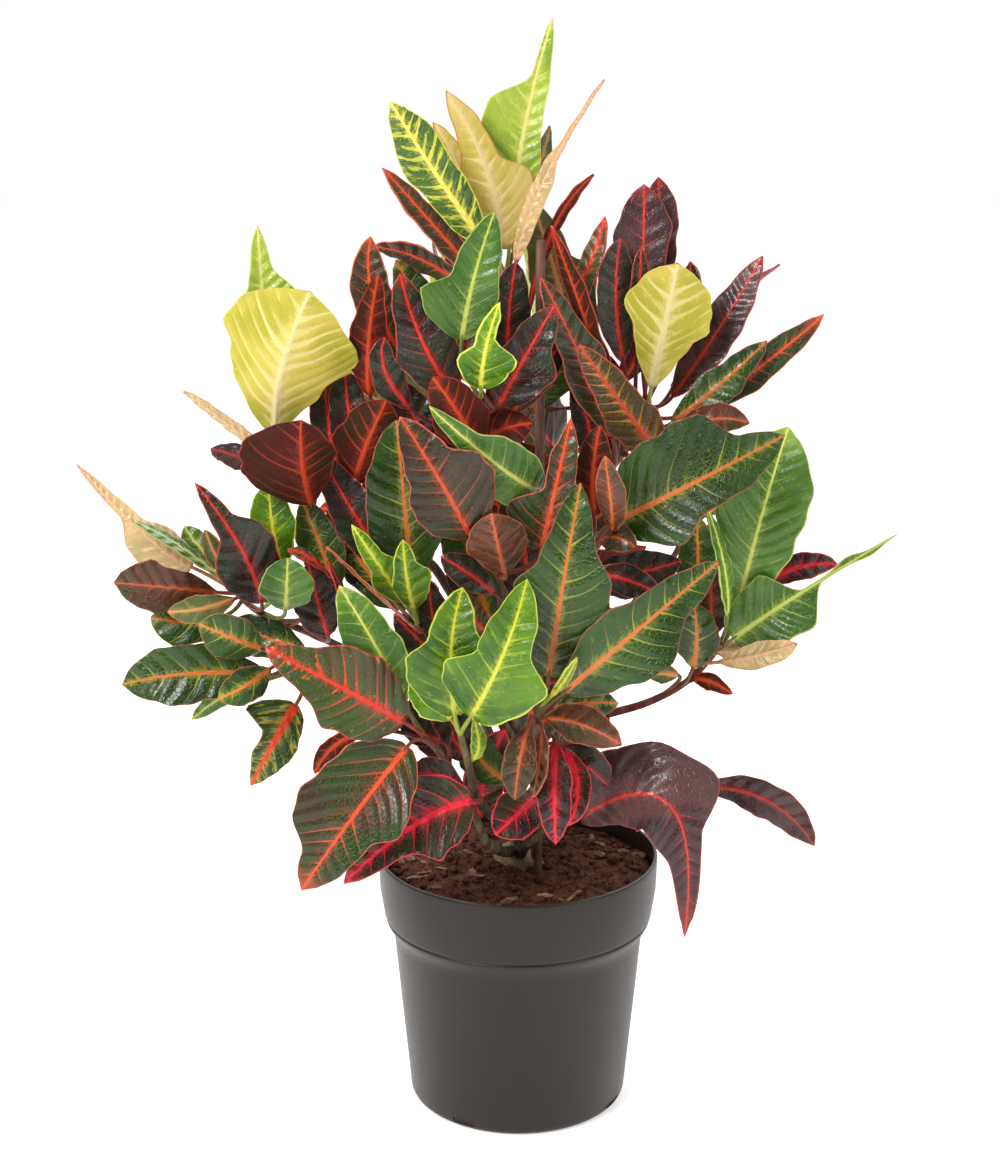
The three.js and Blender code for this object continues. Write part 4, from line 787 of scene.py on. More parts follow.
# A leaf's row holds its kind, the share of the stem where it grows, the foot, middle
# and tip of its midrib, half width, lean of the width to one side, turn of the blade
# (180 shows the underside), depth of its waist (below 0 the tip half is the wider one),
# place of the waist along the blade and how far that slants from side to side. A row
# that ends earlier is plain in the rest.
LEAVES = {
    "crown": [
        ("young", 0.98, (-6, 518, -6), (2, 583, -10), (18, 646, -12), 18, -0.35, 0, 0.5, 0.6,
         -0.1),
        ("mottled", 0.9, (-13, 515, 8), (-41, 553, 14), (-72, 601, 12), 13, 0, -15, -0.2, 0.7),
        ("bronze", 0.7, (-20, 500, -4), (-46, 530, -6), (-77, 565, -8), 9, 0, 30, 0.1),
        ("tan", 0.95, (-12, 520, 2), (-18, 563, 4), (-41, 607, 2), 19, -0.25, 180, 0.4, 0.56),
        ("tan", 0.85, (-14, 522, -8), (-31, 562, -12), (-48, 590, -16), 9, 0, 140, 0.2),
        ("peach", 0.9, (-2, 512, 8), (15, 560, 14), (47, 613, 10), 7, 0, 140, 0.7, 0.6),
        ("green", 0.8, (-3, 520, -16), (8, 556, -24), (17, 588, -26), 8, 0, 50),
        ("purple", 0.35, (5, 480, -10), (19, 530, -12), (42, 561, -14), 4.5, 0, 140),
        ("red", 0.15, (12, 460, 2), (36, 502, 2), (48, 538, 0), 8, 0, -30, 0.1),
        ("bronze", 0.45, (-22, 492, -14), (-55, 514, -16), (-83, 521, -18), 9, 0, -40, 0.1),
        ("green", 0.05, (6, 425, -14), (24, 462, -24), (40, 505, -30), 17, 0, 0, 0.1),
        ("dark", 0.2, (-22, 440, -16), (-34, 472, -26), (-44, 508, -30), 16, 0, 0, 0.1),
        ("green", 0.4, (-34, 462, -20), (-54, 486, -24), (-70, 514, -28), 13, 0, 0, 0.1),
        ("dark", 0.3, (-6, 448, 12), (-6, 480, 14), (-2, 513, 10), 12),
    ],
    "upper_middle": [
        ("olive", 0.95, (-33, 468, 48), (-26, 503, 50), (-14, 541, 44), 22, -0.3, 0, 0.36),
        ("lime", 1, (-22, 440, 58), (-19, 464, 66), (-11, 490, 66), 16, 0.1, 0, 0.62),
        ("dark", 0.85, (-12, 430, 50), (3, 458, 50), (20, 488, 44), 18, 0.1, 0, 0.3, 0.55),
        ("dark", 0.7, (-6, 424, 36), (13, 451, 34), (31, 476, 28), 11, 0, 30, 0.2),
        ("dark", 0.8, (-36, 436, 44), (-55, 466, 46), (-68, 506, 38), 18, 0, 0, 0.25, 0.6),
        ("bronze", 0.4, (-86, 436, 20), (-86, 468, 22), (-80, 506, 18), 12, 0, 180, 0.2, 0.6),
        ("bronze", 0.5, (-58, 450, 6), (-82, 488, 4), (-84, 527, 0), 13, 0, 0, 0.1),
        ("dark", 0.6, (-62, 428, 48), (-77, 450, 54), (-77, 470, 52), 10, 0, 0, 0.2),
        ("dark", 0.5, (-24, 404, 60), (-34, 424, 66), (-50, 447, 62), 16, 0, 180, 0.1),
        ("dark", 0.45, (-26, 404, 44), (-12, 415, 48), (8, 420, 46), 13, 0, 160),
        ("olive", 0.1, (12, 380, 58), (-13, 396, 72), (-52, 430, 74), 17, 0, -25, 0.5, 0.62),
        ("dark", 0.05, (-24, 385, 6), (-52, 410, 2), (-70, 446, -4), 17, 0, 0, 0.1),
    ],
    "lower_middle": [
        ("bronze", 0.95, (-28, 352, 78), (-46, 386, 90), (-69, 424, 86), 25, 0.1, 0, 0.4, 0.58),
        ("bronze", 1, (13, 344, 68), (21, 380, 76), (30, 423, 70), 21, -0.15, 0, 0.55),
        ("rust", 0.98, (-8, 330, 76), (-12, 347, 86), (-16, 367, 86), 17, 0, 180),
        ("dark", 0.6, (-14, 318, 66), (-29, 330, 74), (-46, 341, 74), 9, 0, 10),
        ("dark", 0.5, (4, 316, 50), (18, 332, 52), (26, 356, 48), 12, 0, 10, 0.2),
        ("red", 0.3, (-14, 292, 48), (-26, 302, 56), (-34, 320, 56), 9, 0, 30),
        ("green", 0.1, (-16, 298, 26), (-28, 345, 22), (-32, 392, 20), 19, 0, 0, 0.1),
        ("dark", 0.15, (6, 300, 26), (4, 345, 22), (-2, 395, 18), 16, 0, 0, 0.1),
        ("dark", 0.25, (-16, 268, 46), (-32, 286, 52), (-46, 306, 50), 13, 0, 0, 0.1),
    ],
    "middle_left": [
        ("green", 0.95, (-63, 326, 54), (-67, 374, 62), (-71, 422, 56), 24, 0, 0, 0.15, 0.55),
        ("lime", 0.98, (-68, 313, 62), (-82, 335, 74), (-98, 360, 74), 10, 0, 0, 0.4),
        ("lime", 1, (-62, 308, 66), (-66, 328, 80), (-68, 351, 80), 11, 0.2, 0, 0.3, 0.6),
        ("rust", 0.9, (-60, 296, 62), (-86, 320, 82), (-113, 347, 84), 7, 0, 95),
        ("dark", 0.7, (-72, 330, 34), (-96, 366, 36), (-116, 404, 30), 15, 0, 0, 0.2, 0.55),
        ("dark", 0.5, (-40, 290, 56), (-50, 302, 66), (-52, 326, 66), 10),
        ("green", 0.4, (-56, 310, 24), (-84, 330, 18), (-104, 352, 14), 16, 0, 0, 0.1),
        ("dark", 0.3, (-36, 266, 40), (-54, 284, 46), (-74, 306, 44), 12, 0, 0, 0.1),
        ("green", 0.6, (-84, 326, 26), (-98, 346, 24), (-112, 368, 18), 13, 0, 0, 0.1),
    ],
    "upper_right": [
        ("purple", 0.8, (68, 470, 2), (70, 514, 0), (70, 556, -6), 14, 0, 0, -0.2, 0.6),
        ("purple", 0.9, (76, 470, -12), (79, 518, -16), (78, 560, -20), 10, 0, 0, -0.2, 0.6),
        ("dark", 0.7, (60, 455, 12), (55, 492, 12), (57, 526, 6), 13, 0, 20, 0.1),
        ("young", 1, (76, 440, 16), (83, 475, 26), (90, 512, 24), 19, 0, 180, -0.35, 0.55),
        ("dark", 0.97, (71, 452, 12), (69, 490, 16), (69, 521, 14), 6),
        ("purple", 0.95, (88, 435, 4), (112, 471, 4), (138, 516, -2), 13, 0, -20, 0.1, 0.6),
        ("purple", 0.9, (88, 440, -12), (114, 482, -16), (148, 511, -20), 4, 0, 60),
        ("bronze", 0.9, (94, 425, 10), (133, 449, 12), (174, 483, 6), 10, 0, 0, 0.1),
        ("green", 0.85, (88, 420, 18), (116, 443, 22), (142, 468, 16), 11, 0, -10, 0.2, 0.6),
        ("dark", 0.92, (84, 452, -2), (96, 482, -4), (97, 513, -8), 12, 0, -20, 0.1),
        ("rust", 0.75, (88, 410, 28), (110, 422, 34), (133, 420, 32), 9, 0, 180),
        ("dark", 0.5, (56, 424, 20), (40, 474, 24), (18, 533, 14), 10, 0, 130, 0.1),
        ("bronze", 0.4, (54, 412, 34), (36, 456, 38), (12, 504, 30), 14, 0, 25, 0.2, 0.6),
        ("striped", 0.6, (86, 396, 42), (63, 426, 50), (34, 466, 48), 15, 0, 180, 0.2),
        ("dark", 0.3, (50, 392, 30), (40, 420, 34), (34, 456, 28), 10, 0, 0, 0.1),
        ("dark", 0.1, (40, 385, -10), (52, 420, -14), (48, 462, -18), 16, 0, 0, 0.1),
    ],
    "middle_right": [
        ("green", 1, (57, 362, 74), (104, 386, 92), (154, 413, 80), 32, -0.05, 0, 0.45, 0.56,
         -0.18),
        ("rust", 0.97, (55, 356, 84), (54, 374, 100), (50, 401, 100), 9, 0, 150),
        ("dark", 0.7, (44, 366, 62), (43, 390, 66), (47, 419, 60), 10, 0, 180),
        ("rust", 0.9, (48, 350, 76), (57, 352, 92), (69, 346, 98), 9, 0, 150),
        ("dark", 0.6, (44, 330, 60), (62, 327, 66), (84, 318, 66), 9),
        ("green", 0.2, (24, 305, 26), (52, 296, 22), (84, 286, 18), 15, 0, 0, 0.1),
        ("dark", 0.5, (40, 326, 30), (66, 330, 28), (96, 338, 22), 14, 0, 0, 0.1),
    ],
    "right": [
        ("olive", 1, (129, 304, 42), (141, 360, 56), (156, 418, 48), 23, 0, 0, -0.1),
        ("olive", 0.9, (124, 304, 56), (121, 334, 72), (110, 370, 72), 7, 0, 55, 0.1),
        ("olive", 0.97, (127, 290, 50), (166, 318, 58), (222, 354, 44), 20, 0, -15, 0.93, 0.52),
        ("peach", 0.85, (120, 276, 58), (142, 280, 66), (166, 287, 66), 8, 0, 160),
        ("crimson", 0.99, (142, 322, 26), (164, 334, 24), (188, 336, 20), 8),
        ("bronze", 0.9, (112, 290, 36), (114, 312, 34), (112, 338, 28), 13),
        ("peach", 0.8, (116, 283, 44), (134, 282, 48), (153, 279, 46), 7, 0, 180),
        ("green", 0.6, (104, 272, 40), (106, 290, 48), (104, 312, 48), 13),
        ("green", 0.4, (95, 268, 34), (87, 269, 40), (77, 268, 40), 6, 0, 180),
        ("bronze", 0.62, (105, 265, 32), (114, 264, 36), (128, 256, 34), 6, 0, 150, 0.1, 0.6),
        ("green", 0.7, (106, 300, 20), (106, 330, 14), (104, 366, 8), 14, 0, 0, 0.1),
    ],
    "lower_right": [
        ("green", 1, (18, 266, 90), (26, 322, 104), (36, 385, 98), 27, 0, 0, 0.42, 0.62),
        ("green", 0.95, (27, 257, 96), (72, 297, 104), (118, 338, 88), 22, 0.1, 0, 0.35, 0.6),
        ("lime", 0.98, (19, 254, 96), (27, 264, 112), (35, 279, 114), 3.6, 0, 40),
        ("rust", 0.85, (17, 241, 84), (38, 237, 92), (62, 224, 90), 12, 0, 180, 0.1),
        ("green", 0.8, (20, 246, 72), (40, 250, 74), (60, 250, 68), 9, 0, -20),
        ("rust", 0.75, (6, 236, 92), (1, 214, 104), (-2, 189, 104), 9.5),
        ("rust", 0.7, (14, 234, 88), (13, 214, 98), (9, 190, 100), 6, 0, 30),
        ("crimson", 0.5, (22, 226, 80), (22, 194, 94), (23, 160, 96), 11, 0, 0, 0.1),
        ("crimson", 0.4, (27, 222, 66), (36, 199, 76), (31, 172, 78), 8, 0, 10),
        ("dark", 0.3, (20, 216, 56), (38, 212, 62), (54, 198, 60), 13, 0, 20),
        ("green", 0.05, (-4, 200, 34), (-22, 214, 30), (-30, 236, 26), 12),
    ],
    "lime_front": [
        ("lime", 1, (-29, 241, 98), (-9, 281, 118), (5, 327, 108), 29, 0, 0, 0.5, 0.46),
        ("lime", 0.95, (-38, 242, 92), (-40, 284, 104), (-33, 322, 96), 23, -0.1, 0, 0.4, 0.58),
        ("lime", 0.9, (-40, 240, 88), (-50, 254, 96), (-61, 273, 92), 13),
        ("lime", 0.6, (-28, 214, 74), (-24, 224, 76), (-27, 240, 76), 5, 0, 30),
    ],
    "lower_left": [
        ("red", 1, (-68, 238, 84), (-104, 259, 98), (-151, 285, 96), 24, 0, 0, 0.35, 0.66),
        ("olive", 0.96, (-68, 250, 74), (-84, 284, 82), (-106, 323, 76), 16, -0.1, 0, 0.1),
        ("dark", 0.92, (-78, 266, 60), (-98, 306, 68), (-112, 338, 64), 5, 0, 60),
        ("bronze", 0.8, (-66, 224, 86), (-99, 180, 108), (-133, 130, 112), 29, 0.08, 0, 0.35,
         0.66, 0.12),
        ("crimson", 0.2, (-27, 188, 76), (-64, 172, 92), (-107, 134, 98), 24, 0, 0, 0.45, 0.6),
        ("dark", 0.35, (-36, 200, 70), (-50, 205, 78), (-66, 206, 78), 10),
        ("purple", 0.85, (-92, 232, 62), (-111, 223, 64), (-123, 206, 60), 6, 0, 160),
        ("dark", 0.55, (-46, 226, 62), (-60, 234, 60), (-66, 248, 54), 9),
        ("dark", 0.3, (-30, 214, 30), (-44, 246, 22), (-40, 285, 18), 17, 0, 0, 0.1),
        ("crimson", 0.1, (-24, 176, 24), (-20, 204, 14), (-8, 234, 8), 14, 0, 0, 0.1),
        ("dark", 0.5, (-44, 212, 40), (-54, 238, 32), (-58, 264, 26), 13, 0, 0, 0.1),
    ],
    "lower_right_foot": [
        ("purple", 1, (36, 176, 46), (92, 185, 78), (103, 99, 80), 27, -0.15, -10, 0.5, 0.68),
        ("purple", 0.8, (108, 197, 18), (150, 189, 26), (181, 159, 30), 11, 0, 10),
        ("crimson", 0.6, (10, 190, 62), (0, 180, 78), (-14, 166, 86), 14),
        ("dark", 0.5, (30, 190, 20), (50, 206, 24), (72, 214, 20), 12),
    ],
    "left": [
        ("peach", 1, (-192, 334, 22), (-220, 355, 22), (-257, 396, 14), 14, 0.1, 160, 0.65, 0.56),
        ("olive", 0.98, (-174, 326, 36), (-200, 347, 42), (-226, 362, 38), 6, 0, 55),
        ("olive", 0.95, (-174, 334, 16), (-187, 346, 12), (-196, 359, 8), 9, 0, 0, 0.1),
        ("green", 0.9, (-168, 328, 44), (-177, 340, 50), (-184, 357, 50), 6, 0, 180),
        ("rust", 0.96, (-178, 319, 36), (-206, 322, 50), (-239, 325, 48), 12, 0, -15, -0.3, 0.6),
        ("green", 0.92, (-168, 315, 46), (-187, 309, 58), (-208, 307, 60), 8, 0, 180),
        ("green", 0.88, (-174, 305, 34), (-197, 301, 40), (-218, 304, 38), 14),
        ("dark", 0.8, (-152, 312, 48), (-163, 345, 62), (-189, 385, 58), 18, 0, 0, 0.55, 0.64),
        ("lime", 0.7, (-139, 332, 34), (-144, 356, 38), (-146, 386, 34), 13),
        ("olive", 0.65, (-138, 308, 58), (-137, 322, 72), (-136, 340, 72), 15),
        ("red", 0.5, (-114, 332, 56), (-125, 341, 62), (-136, 345, 62), 5, 0, 50),
        ("dark", 0.45, (-113, 292, 44), (-118, 310, 54), (-124, 337, 52), 14),
        ("green", 0.55, (-108, 320, 28), (-116, 346, 26), (-127, 375, 20), 14, 0, 0, 0.1),
    ],
    "lower_far_left": [
        ("green", 1, (-150, 268, 62), (-194, 269, 72), (-237, 262, 66), 17),
        ("green", 0.97, (-152, 284, 60), (-170, 291, 78), (-190, 300, 80), 13, 0, -15),
        ("green", 0.95, (-148, 272, 68), (-162, 262, 88), (-180, 253, 92), 10),
        ("olive", 0.9, (-160, 262, 56), (-178, 254, 52), (-196, 240, 48), 5.5),
        ("spotted", 0.85, (-133, 250, 54), (-147, 226, 62), (-162, 198, 62), 19, 0.3, 0, 0.42,
         0.62, -0.2),
        ("green", 0.75, (-126, 282, 34), (-150, 291, 30), (-176, 298, 24), 12),
    ],
    "upper_left": [
        ("young", 0.97, (-139, 430, 4), (-145, 482, 2), (-148, 533, -6), 22, 0, 0, 0.6, 0.66),
        ("young", 1, (-141, 412, 20), (-136, 453, 32), (-119, 496, 30), 30, 0, 180, -0.35, 0.56),
        ("olive", 0.92, (-136, 412, 4), (-148, 428, 2), (-162, 449, -4), 5, 0, 60),
        ("peach", 0.95, (-142, 400, 8), (-167, 419, 6), (-193, 439, 0), 7, 0, 120, 0.1),
        ("purple", 0.9, (-146, 392, 16), (-163, 400, 18), (-179, 405, 14), 8, 0, 30),
        ("dark", 0.8, (-121, 372, 32), (-126, 396, 50), (-126, 422, 52), 27, 0.3, 180),
        ("dark", 0.5, (-96, 384, 26), (-88, 408, 36), (-76, 434, 36), 20, 0, 180, 0.1),
        ("dark", 0.6, (-106, 390, 14), (-110, 418, 12), (-112, 448, 6), 12, 0, 0, 0.1),
        ("dark", 0.4, (-92, 398, 20), (-98, 424, 18), (-100, 452, 12), 13, 0, 0, 0.1),
    ],
}
PLAIN_BLADE = (0, 0, 0, 0.5, 0.05)
PLAIN_LIMIT = 14.5
NUDGE = 3.5
NUDGES = 14
TURNS = (0, 14, -14)
SMALL_BLADE = 7
LOBED_BLADE = 0.35
LONG_BLADE = 100
SWING = 4
SWINGS = 8
FAR_HALF_WIDTH = 8
BLADE_COLUMNS = np.array([-1, -0.97, -0.88, -0.74, -0.58, -0.42, -0.27, -0.14, -0.06, 0,
                          0.06, 0.14, 0.27, 0.42, 0.58, 0.74, 0.88, 0.97, 1])
HALF_THICKNESS = 0.3
RIB_RISE = 0.35
RIB_KEEL = 0.75
ROW_LENGTH = 2.6
ROW_COUNTS = (12, 40)
STALK_RADII = (1.35, 1.05)
STALK_SIDES = 9
STALK_ROWS = 9
TWIG_RADII = (2.5, 1.8)
TWIG_SIDES = 12
TWIG_ROWS = 25
# The solid stems' own edges, and how near a corner must lie to count as found in them
SOLID_PLAIN_EDGE = 0.45
SOLID_FOLDED_EDGE = 0.35
CORNER_SLACK = 0.06
CHANCE_MATCHES = 2


def leaf_pose(row, index, stem, steps=0, turn_more=0, bearing=0, swing=0):
    kind, share, foot, middle, tip, half, *form = row
    skew, turn, lobe, waist, slant = (*form, *PLAIN_BLADE[len(form):])

    def moved(point, part):
        return seen(point[0], point[1], point[2] + part * steps * NUDGE)

    tip_point = moved(tip, 1)
    return {
        "kind": kind,
        "root": swung(curve_point(stem, share), bearing),
        "base": swung(moved(foot, 0.35), bearing + 0.4 * swing),
        "middle": swung(moved(middle, 0.8), bearing + 0.8 * swing),
        "tip": swung(tip_point, bearing + swing),
        "facing": swung(unit(EYE - tip_point), bearing + swing),
        "half": half, "skew": skew, "turn": turn + turn_more,
        "lobe": lobe, "waist": waist, "slant": slant,
        "wave": 1.5 if half > SMALL_BLADE else 0.4, "phase": 1.7 * index,
    }


def blade_length(leaf):
    return (np.linalg.norm(leaf["base"] - leaf["middle"])
            + np.linalg.norm(leaf["middle"] - leaf["tip"]))


def midrib_point(leaf, t):
    t = np.asarray(t, float)[..., None]
    base, middle, tip = leaf["base"], leaf["middle"], leaf["tip"]
    bend = 2 * middle - 0.5 * base - 0.5 * tip
    return base * (1 - t) ** 2 + bend * 2 * t * (1 - t) + tip * t * t


def blade_axes(leaf, t):
    """Along the midrib, out of the upper face, and to the right, at each station."""
    along = unit(midrib_point(leaf, np.minimum(t + 0.01, 1))
                 - midrib_point(leaf, np.maximum(t - 0.01, 0)))
    facing = leaf["facing"]
    face = unit(facing - along * (along @ facing)[..., None])
    turn = math.radians(leaf["turn"])
    face = face * math.cos(turn) + np.cross(along, face) * math.sin(turn)
    return along, face, np.cross(along, face)


def half_width(leaf, t, side):
    """An oval that drops at the waist from a broad lobe to a tongue."""
    reach = leaf["half"] * (1 + side * leaf["skew"])
    near = np.minimum(t, 0.975)
    oval = np.sin(np.pi * near ** (1.15 - 0.5 * leaf["lobe"])) ** 0.62
    lobe = min(leaf["lobe"] * (1 + 2 * side * leaf["skew"]), 0.93)
    waist = leaf["waist"] + side * leaf["slant"]
    drop = np.clip((t - waist + 0.1) / 0.16, 0, 1)
    drop = drop * drop * (3 - 2 * drop)
    leaflet = 0.3 * lobe ** 4 * np.exp(-((t - waist - 0.31) / 0.07) ** 2)
    return np.maximum(reach * oval * (1 - lobe * drop + leaflet), 0.9)


def solid_corners(leaf, t, plain):
    """Corners of the solid leaf's section at one station, to find how it was placed."""
    t = np.array([t])
    along, face, right = (axis[0] for axis in blade_axes(leaf, t))
    centre = midrib_point(leaf, t)[0]
    corners = []
    for side in (-1, 1):
        width = half_width(leaf, t, side)[0]
        wave = leaf["wave"] * math.sin(leaf["phase"] + side + 12 * t[0]) * width / leaf["half"]
        lift = 0 if plain else 0.2 * width + wave
        edge = SOLID_PLAIN_EDGE if plain else SOLID_FOLDED_EDGE
        for height in (edge, -edge):
            corners.append(centre + right * side * width + face * (lift + height))
    return corners


def solid_station(leaf, plain):
    """Where the solid leaf's last section before its tip stands."""
    if plain:
        return 0.76
    if leaf["lobe"] > LOBED_BLADE:
        return 0.5 * leaf["waist"] + 0.5
    return 0.86 if blade_length(leaf) > LONG_BLADE else 0.8


def find_pose(node, poses, far):
    """The pose in which a leaf stands in the solid stem, or none where it was left off."""
    tree = solid_trees[node]
    best, most = None, CHANCE_MATCHES
    for pose in poses:
        plain = far or pose["half"] <= PLAIN_LIMIT
        corners = (solid_corners(pose, 1.0, plain)
                   + solid_corners(pose, solid_station(pose, plain), plain))
        found = sum(tree.find(corner)[2] < CORNER_SLACK for corner in corners)
        if found > most:
            best, most = pose, found
        if found == len(corners):
            break
    return best


def blade_skin(leaf, steps):
    """Upper and lower face of a blade, with its measures at every point."""
    t = 1 - (1 - 0.012) * (1 - np.linspace(0, 1, steps)) ** 1.15
    t[0] = 0.012
    along, face, right = blade_axes(leaf, t)
    centre = midrib_point(leaf, t)
    travel = np.concatenate(
        [[0], np.cumsum(np.linalg.norm(np.diff(centre, axis=0), axis=1))])
    share = BLADE_COLUMNS[None, :]
    width = np.where(share < 0, half_width(leaf, t, -1)[:, None],
                     half_width(leaf, t, 1)[:, None])
    tip_round = np.sqrt(np.clip((1 - t) / 0.05, 0, 1))[:, None]
    ruffle = (1 + 0.045 * np.sin(16 * t[:, None] + leaf["phase"] * 3 + 2 * np.sign(share))
              + 0.025 * np.sin(38 * t[:, None] + leaf["phase"] * 5 - np.sign(share)))
    across = share * np.maximum(width * ruffle * tip_round, 0.25)
    narrow = leaf["half"] <= PLAIN_LIMIT
    fold = 0.1 if narrow else 0.2
    wave = (0.5 if narrow else 1) * leaf["wave"]
    swell = wave * np.sin(leaf["phase"] + np.sign(share) + 12 * t[:, None])
    lift = (fold * np.abs(across) * np.abs(share) ** 0.3
            + swell * np.abs(across) / leaf["half"] * np.abs(share) ** 0.8
            + 0.35 * np.sin(37 * t[:, None] + leaf["phase"]) * np.abs(share) ** 4
            - 0.5 * np.abs(share) ** 8)
    taper = 0.35 + 0.65 * np.minimum(1, (1 - t) * 2.2)[:, None]
    rise = HALF_THICKNESS + RIB_RISE * taper * np.exp(-(across / 1.0) ** 2)
    keel = HALF_THICKNESS + RIB_KEEL * taper * np.exp(-(across / 1.1) ** 2)
    middle = centre[:, None] + right[:, None] * across[..., None]
    upper = middle + face[:, None] * (lift + rise)[..., None]
    lower = middle + face[:, None] * (lift - keel)[..., None]
    from_edge = np.abs(across[:, [0]]) * (share < 0) + np.abs(across[:, [-1]]) * (share >= 0)
    measures = {
        "mm_across": across,
        "mm_along": np.broadcast_to(travel[:, None], across.shape),
        "mm_from_edge": np.minimum(from_edge - np.abs(across), (travel[-1] - travel)[:, None]),
        "share_along": np.broadcast_to(t[:, None], across.shape),
    }
    return upper, lower, measures


def stalk_line(leaf, count):
    root, base = leaf["root"], leaf["base"]
    heading = blade_axes(leaf, np.array([0.0]))[0][0]
    bend = base - 0.45 * np.linalg.norm(root - base) * heading
    share = np.linspace(0, 1, count)[:, None]
    line = root * (1 - share) ** 2 + bend * 2 * share * (1 - share) + base * share ** 2
    return np.concatenate([line, midrib_point(leaf, np.array([0.03, 0.07]))])


MEASURES = ("mm_across", "mm_along", "mm_from_edge", "share_along", "luck")


class LeafyStem:
    """Gathers one leafy stem's twig, stalks and blades into a single mesh."""

    def __init__(self):
        self.points, self.faces, self.skins = [], [], []
        self.measures = {name: [] for name in MEASURES}
        self.count = 0

    def add(self, points, faces, skin, measures):
        points = np.asarray(points).reshape(-1, 3)
        self.points.append(points)
        self.faces += [tuple(k + self.count for k in face) for face in faces]
        self.skins += [skin] * len(faces)
        for name in MEASURES:
            value = np.asarray(measures.get(name, 0.0), float).reshape(-1)
            self.measures[name].append(np.broadcast_to(value, len(points)))
        self.count += len(points)

    def add_leaf(self, leaf, luck):
        skin = skin_numbers[leaf["kind"]]
        steps = int(np.clip(blade_length(leaf) / ROW_LENGTH, *ROW_COUNTS))
        upper, lower, measures = blade_skin(leaf, steps)
        measures["luck"] = np.full(upper.shape[:2], luck)
        columns = len(BLADE_COLUMNS)
        first = self.count
        grid = [(i * columns + k, (i + 1) * columns + k) for i in range(steps - 1)
                for k in range(columns - 1)]
        self.add(upper, [(a, a + 1, b + 1, b) for a, b in grid], skin, measures)
        self.add(lower, [(a, b, b + 1, a + 1) for a, b in grid], skin + 1, measures)
        below = steps * columns
        rim = [i * columns + columns - 1 for i in range(steps)]
        rim += [(steps - 1) * columns + k for k in range(columns - 2, -1, -1)]
        rim += [i * columns for i in range(steps - 2, -1, -1)]
        rim += list(range(1, columns))
        for a, b in zip(rim, rim[1:]):
            self.faces.append((first + a, first + below + a, first + below + b, first + b))
            self.skins.append(skin)
        line = stalk_line(leaf, STALK_ROWS)
        radii = np.linspace(*STALK_RADII, len(line))
        radii[0] *= 1.35
        radii[-1] = 0.5
        points, faces = round_rod(line, radii, STALK_SIDES)
        self.add(points, faces, skin + 2, {"luck": luck})

    def make(self, name, node):
        piece = make_piece(name, np.concatenate(self.points), self.faces, leaf_skins)
        mesh = piece.data
        mesh.polygons.foreach_set("material_index", self.skins)
        for key, values in self.measures.items():
            layer = mesh.attributes.new(key, "FLOAT", "POINT")
            layer.data.foreach_set("value", np.concatenate(values))
        take_place(piece, node)


def outward(count):
    """0, 1, -1, 2, -2 and so on, up to the count."""
    return sorted(range(-count, count + 1), key=lambda step: (abs(step), -step))


def noted_poses(row, index, stem):
    return [leaf_pose(row, index, stem, step, turn) for step in outward(NUDGES)
            for turn in TURNS]


def far_poses(row, index, stem, bearing):
    return [leaf_pose(row, index, stem, bearing=bearing, swing=SWING * step)
            for step in outward(SWINGS)]


def solid_tree(node):
    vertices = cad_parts[node].data.vertices
    tree = KDTree(len(vertices))
    for i, vertex in enumerate(vertices):
        tree.insert(vertex.co / MM, i)
    tree.balance()
    return tree


solid_trees = {f"leafy_stem_{name}": solid_tree(f"leafy_stem_{name}") for name in stem_curves}
leaf_dice = np.random.default_rng(11)
for name, stem in stem_curves.items():
    node = f"leafy_stem_{name}"
    leafy = LeafyStem()
    twig_line = [curve_point(stem, share) for share in np.linspace(0, 1, TWIG_ROWS)]
    twig = round_rod(twig_line, np.linspace(*TWIG_RADII, TWIG_ROWS), TWIG_SIDES)
    leafy.add(*twig, TWIG_SKIN + (name in RED_TWIGS), {})
    like, bearing, _ = FAR_STEMS.get(name, (name, None, 0))
    for index, row in enumerate(LEAVES[like]):
        if bearing is None:
            poses = noted_poses(row, index, stem)
        elif row[5] >= FAR_HALF_WIDTH:
            poses = far_poses(row, index, stem_curves[like], bearing)
        else:
            continue
        pose = find_pose(node, poses, bearing is not None)
        if pose:
            leafy.add_leaf(pose, leaf_dice.uniform(0, 1))
    leafy.make(f"leaves_{name}", node)

# Studio. A plain white floor and soft white light from all round, a little stronger
# from the upper left, and the camera where the photograph was taken from.

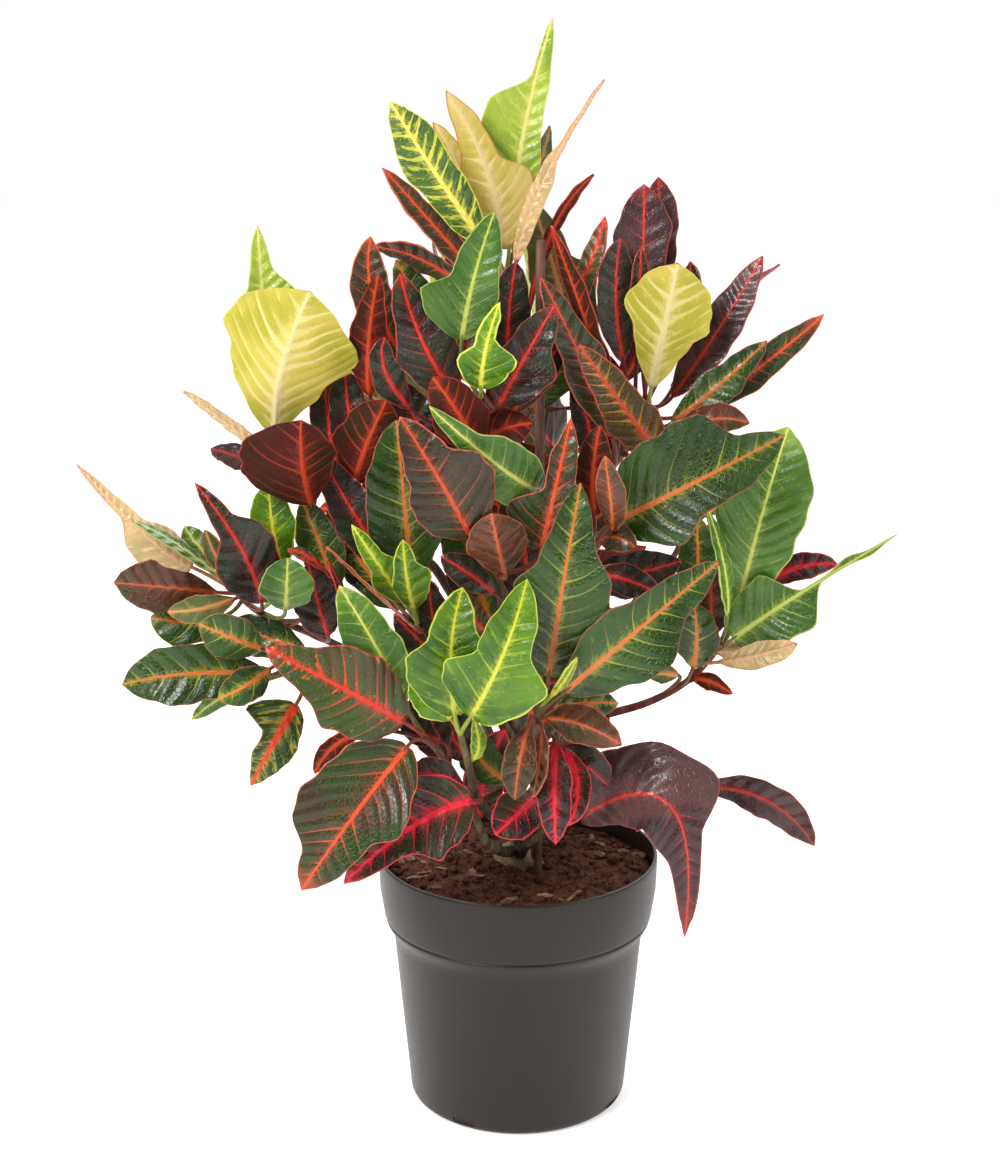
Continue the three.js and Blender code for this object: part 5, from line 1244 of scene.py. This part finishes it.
FLOOR_WHITE = (0.93, 0.925, 0.915, 1)
CAMERA_PLACE = (-0.011, -1.14425, 0.61627)
CAMERA_DIP = 14.14
SENSOR_WIDTH = 36
LENS = SENSOR_WIDTH * 2000 / 1155
FLOOR_GLOW = 0.5


def soft_light(name, place, aim, size, power):
    light = bpy.data.lights.new(name, "AREA")
    light.shape = "DISK"
    light.size = size
    light.energy = power
    lamp = bpy.data.objects.new(name, light)
    lamp.location = place
    lamp.rotation_euler = (Vector(aim) - Vector(place)).to_track_quat("-Z", "Y").to_euler()
    bpy.context.scene.collection.objects.link(lamp)
    return lamp


floor_paper, _, floor_shader = start_material("floor paper", 0.8, 0.2)
floor_shader.inputs["Base Color"].default_value = FLOOR_WHITE
floor_shader.inputs["Emission Color"].default_value = FLOOR_WHITE
floor_shader.inputs["Emission Strength"].default_value = FLOOR_GLOW
floor_corners = [(-6000, -3000, 0), (6000, -3000, 0), (6000, 9000, 0), (-6000, 9000, 0)]
floor = make_piece("floor", floor_corners, [(0, 1, 2, 3)], [floor_paper])
lamps = [
    soft_light("window", (-1.3, -1.4, 1.7), (0, 0, 0.3), 1.0, 42),
    soft_light("fill", (1.6, -1.2, 1.1), (0, 0, 0.3), 1.4, 9),
    soft_light("back light", (0.3, 1.7, 1.9), (0, 0, 0.35), 1.6, 22),
]

room = bpy.data.worlds.new("room")
room.use_nodes = True
tree = room.node_tree
way = add_node(tree, "TexCoord", {}, "Generated")
forward = add_node(tree, "SeparateXYZ", {0: way}, "Y")
room_light = ease(tree, forward, -0.9, 0.1, 0.24, 0.72)
straight = add_node(tree, "LightPath", {}, "Is Camera Ray")
level = ease(tree, straight, 0, 1, room_light, 1.02)
tree.links.new(level, tree.nodes["Background"].inputs["Strength"])
tree.nodes["Background"].inputs["Color"].default_value = (1, 1, 1, 1)
bpy.context.scene.world = room
bpy.context.scene.view_settings.view_transform = "Standard"

camera = bpy.data.cameras.new("camera")
camera.lens = LENS
camera.sensor_width = SENSOR_WIDTH
viewer = bpy.data.objects.new("camera", camera)
viewer.location = CAMERA_PLACE
viewer.rotation_euler = (math.radians(90 - CAMERA_DIP), 0, 0)
bpy.context.scene.collection.objects.link(viewer)
bpy.context.scene.camera = viewer
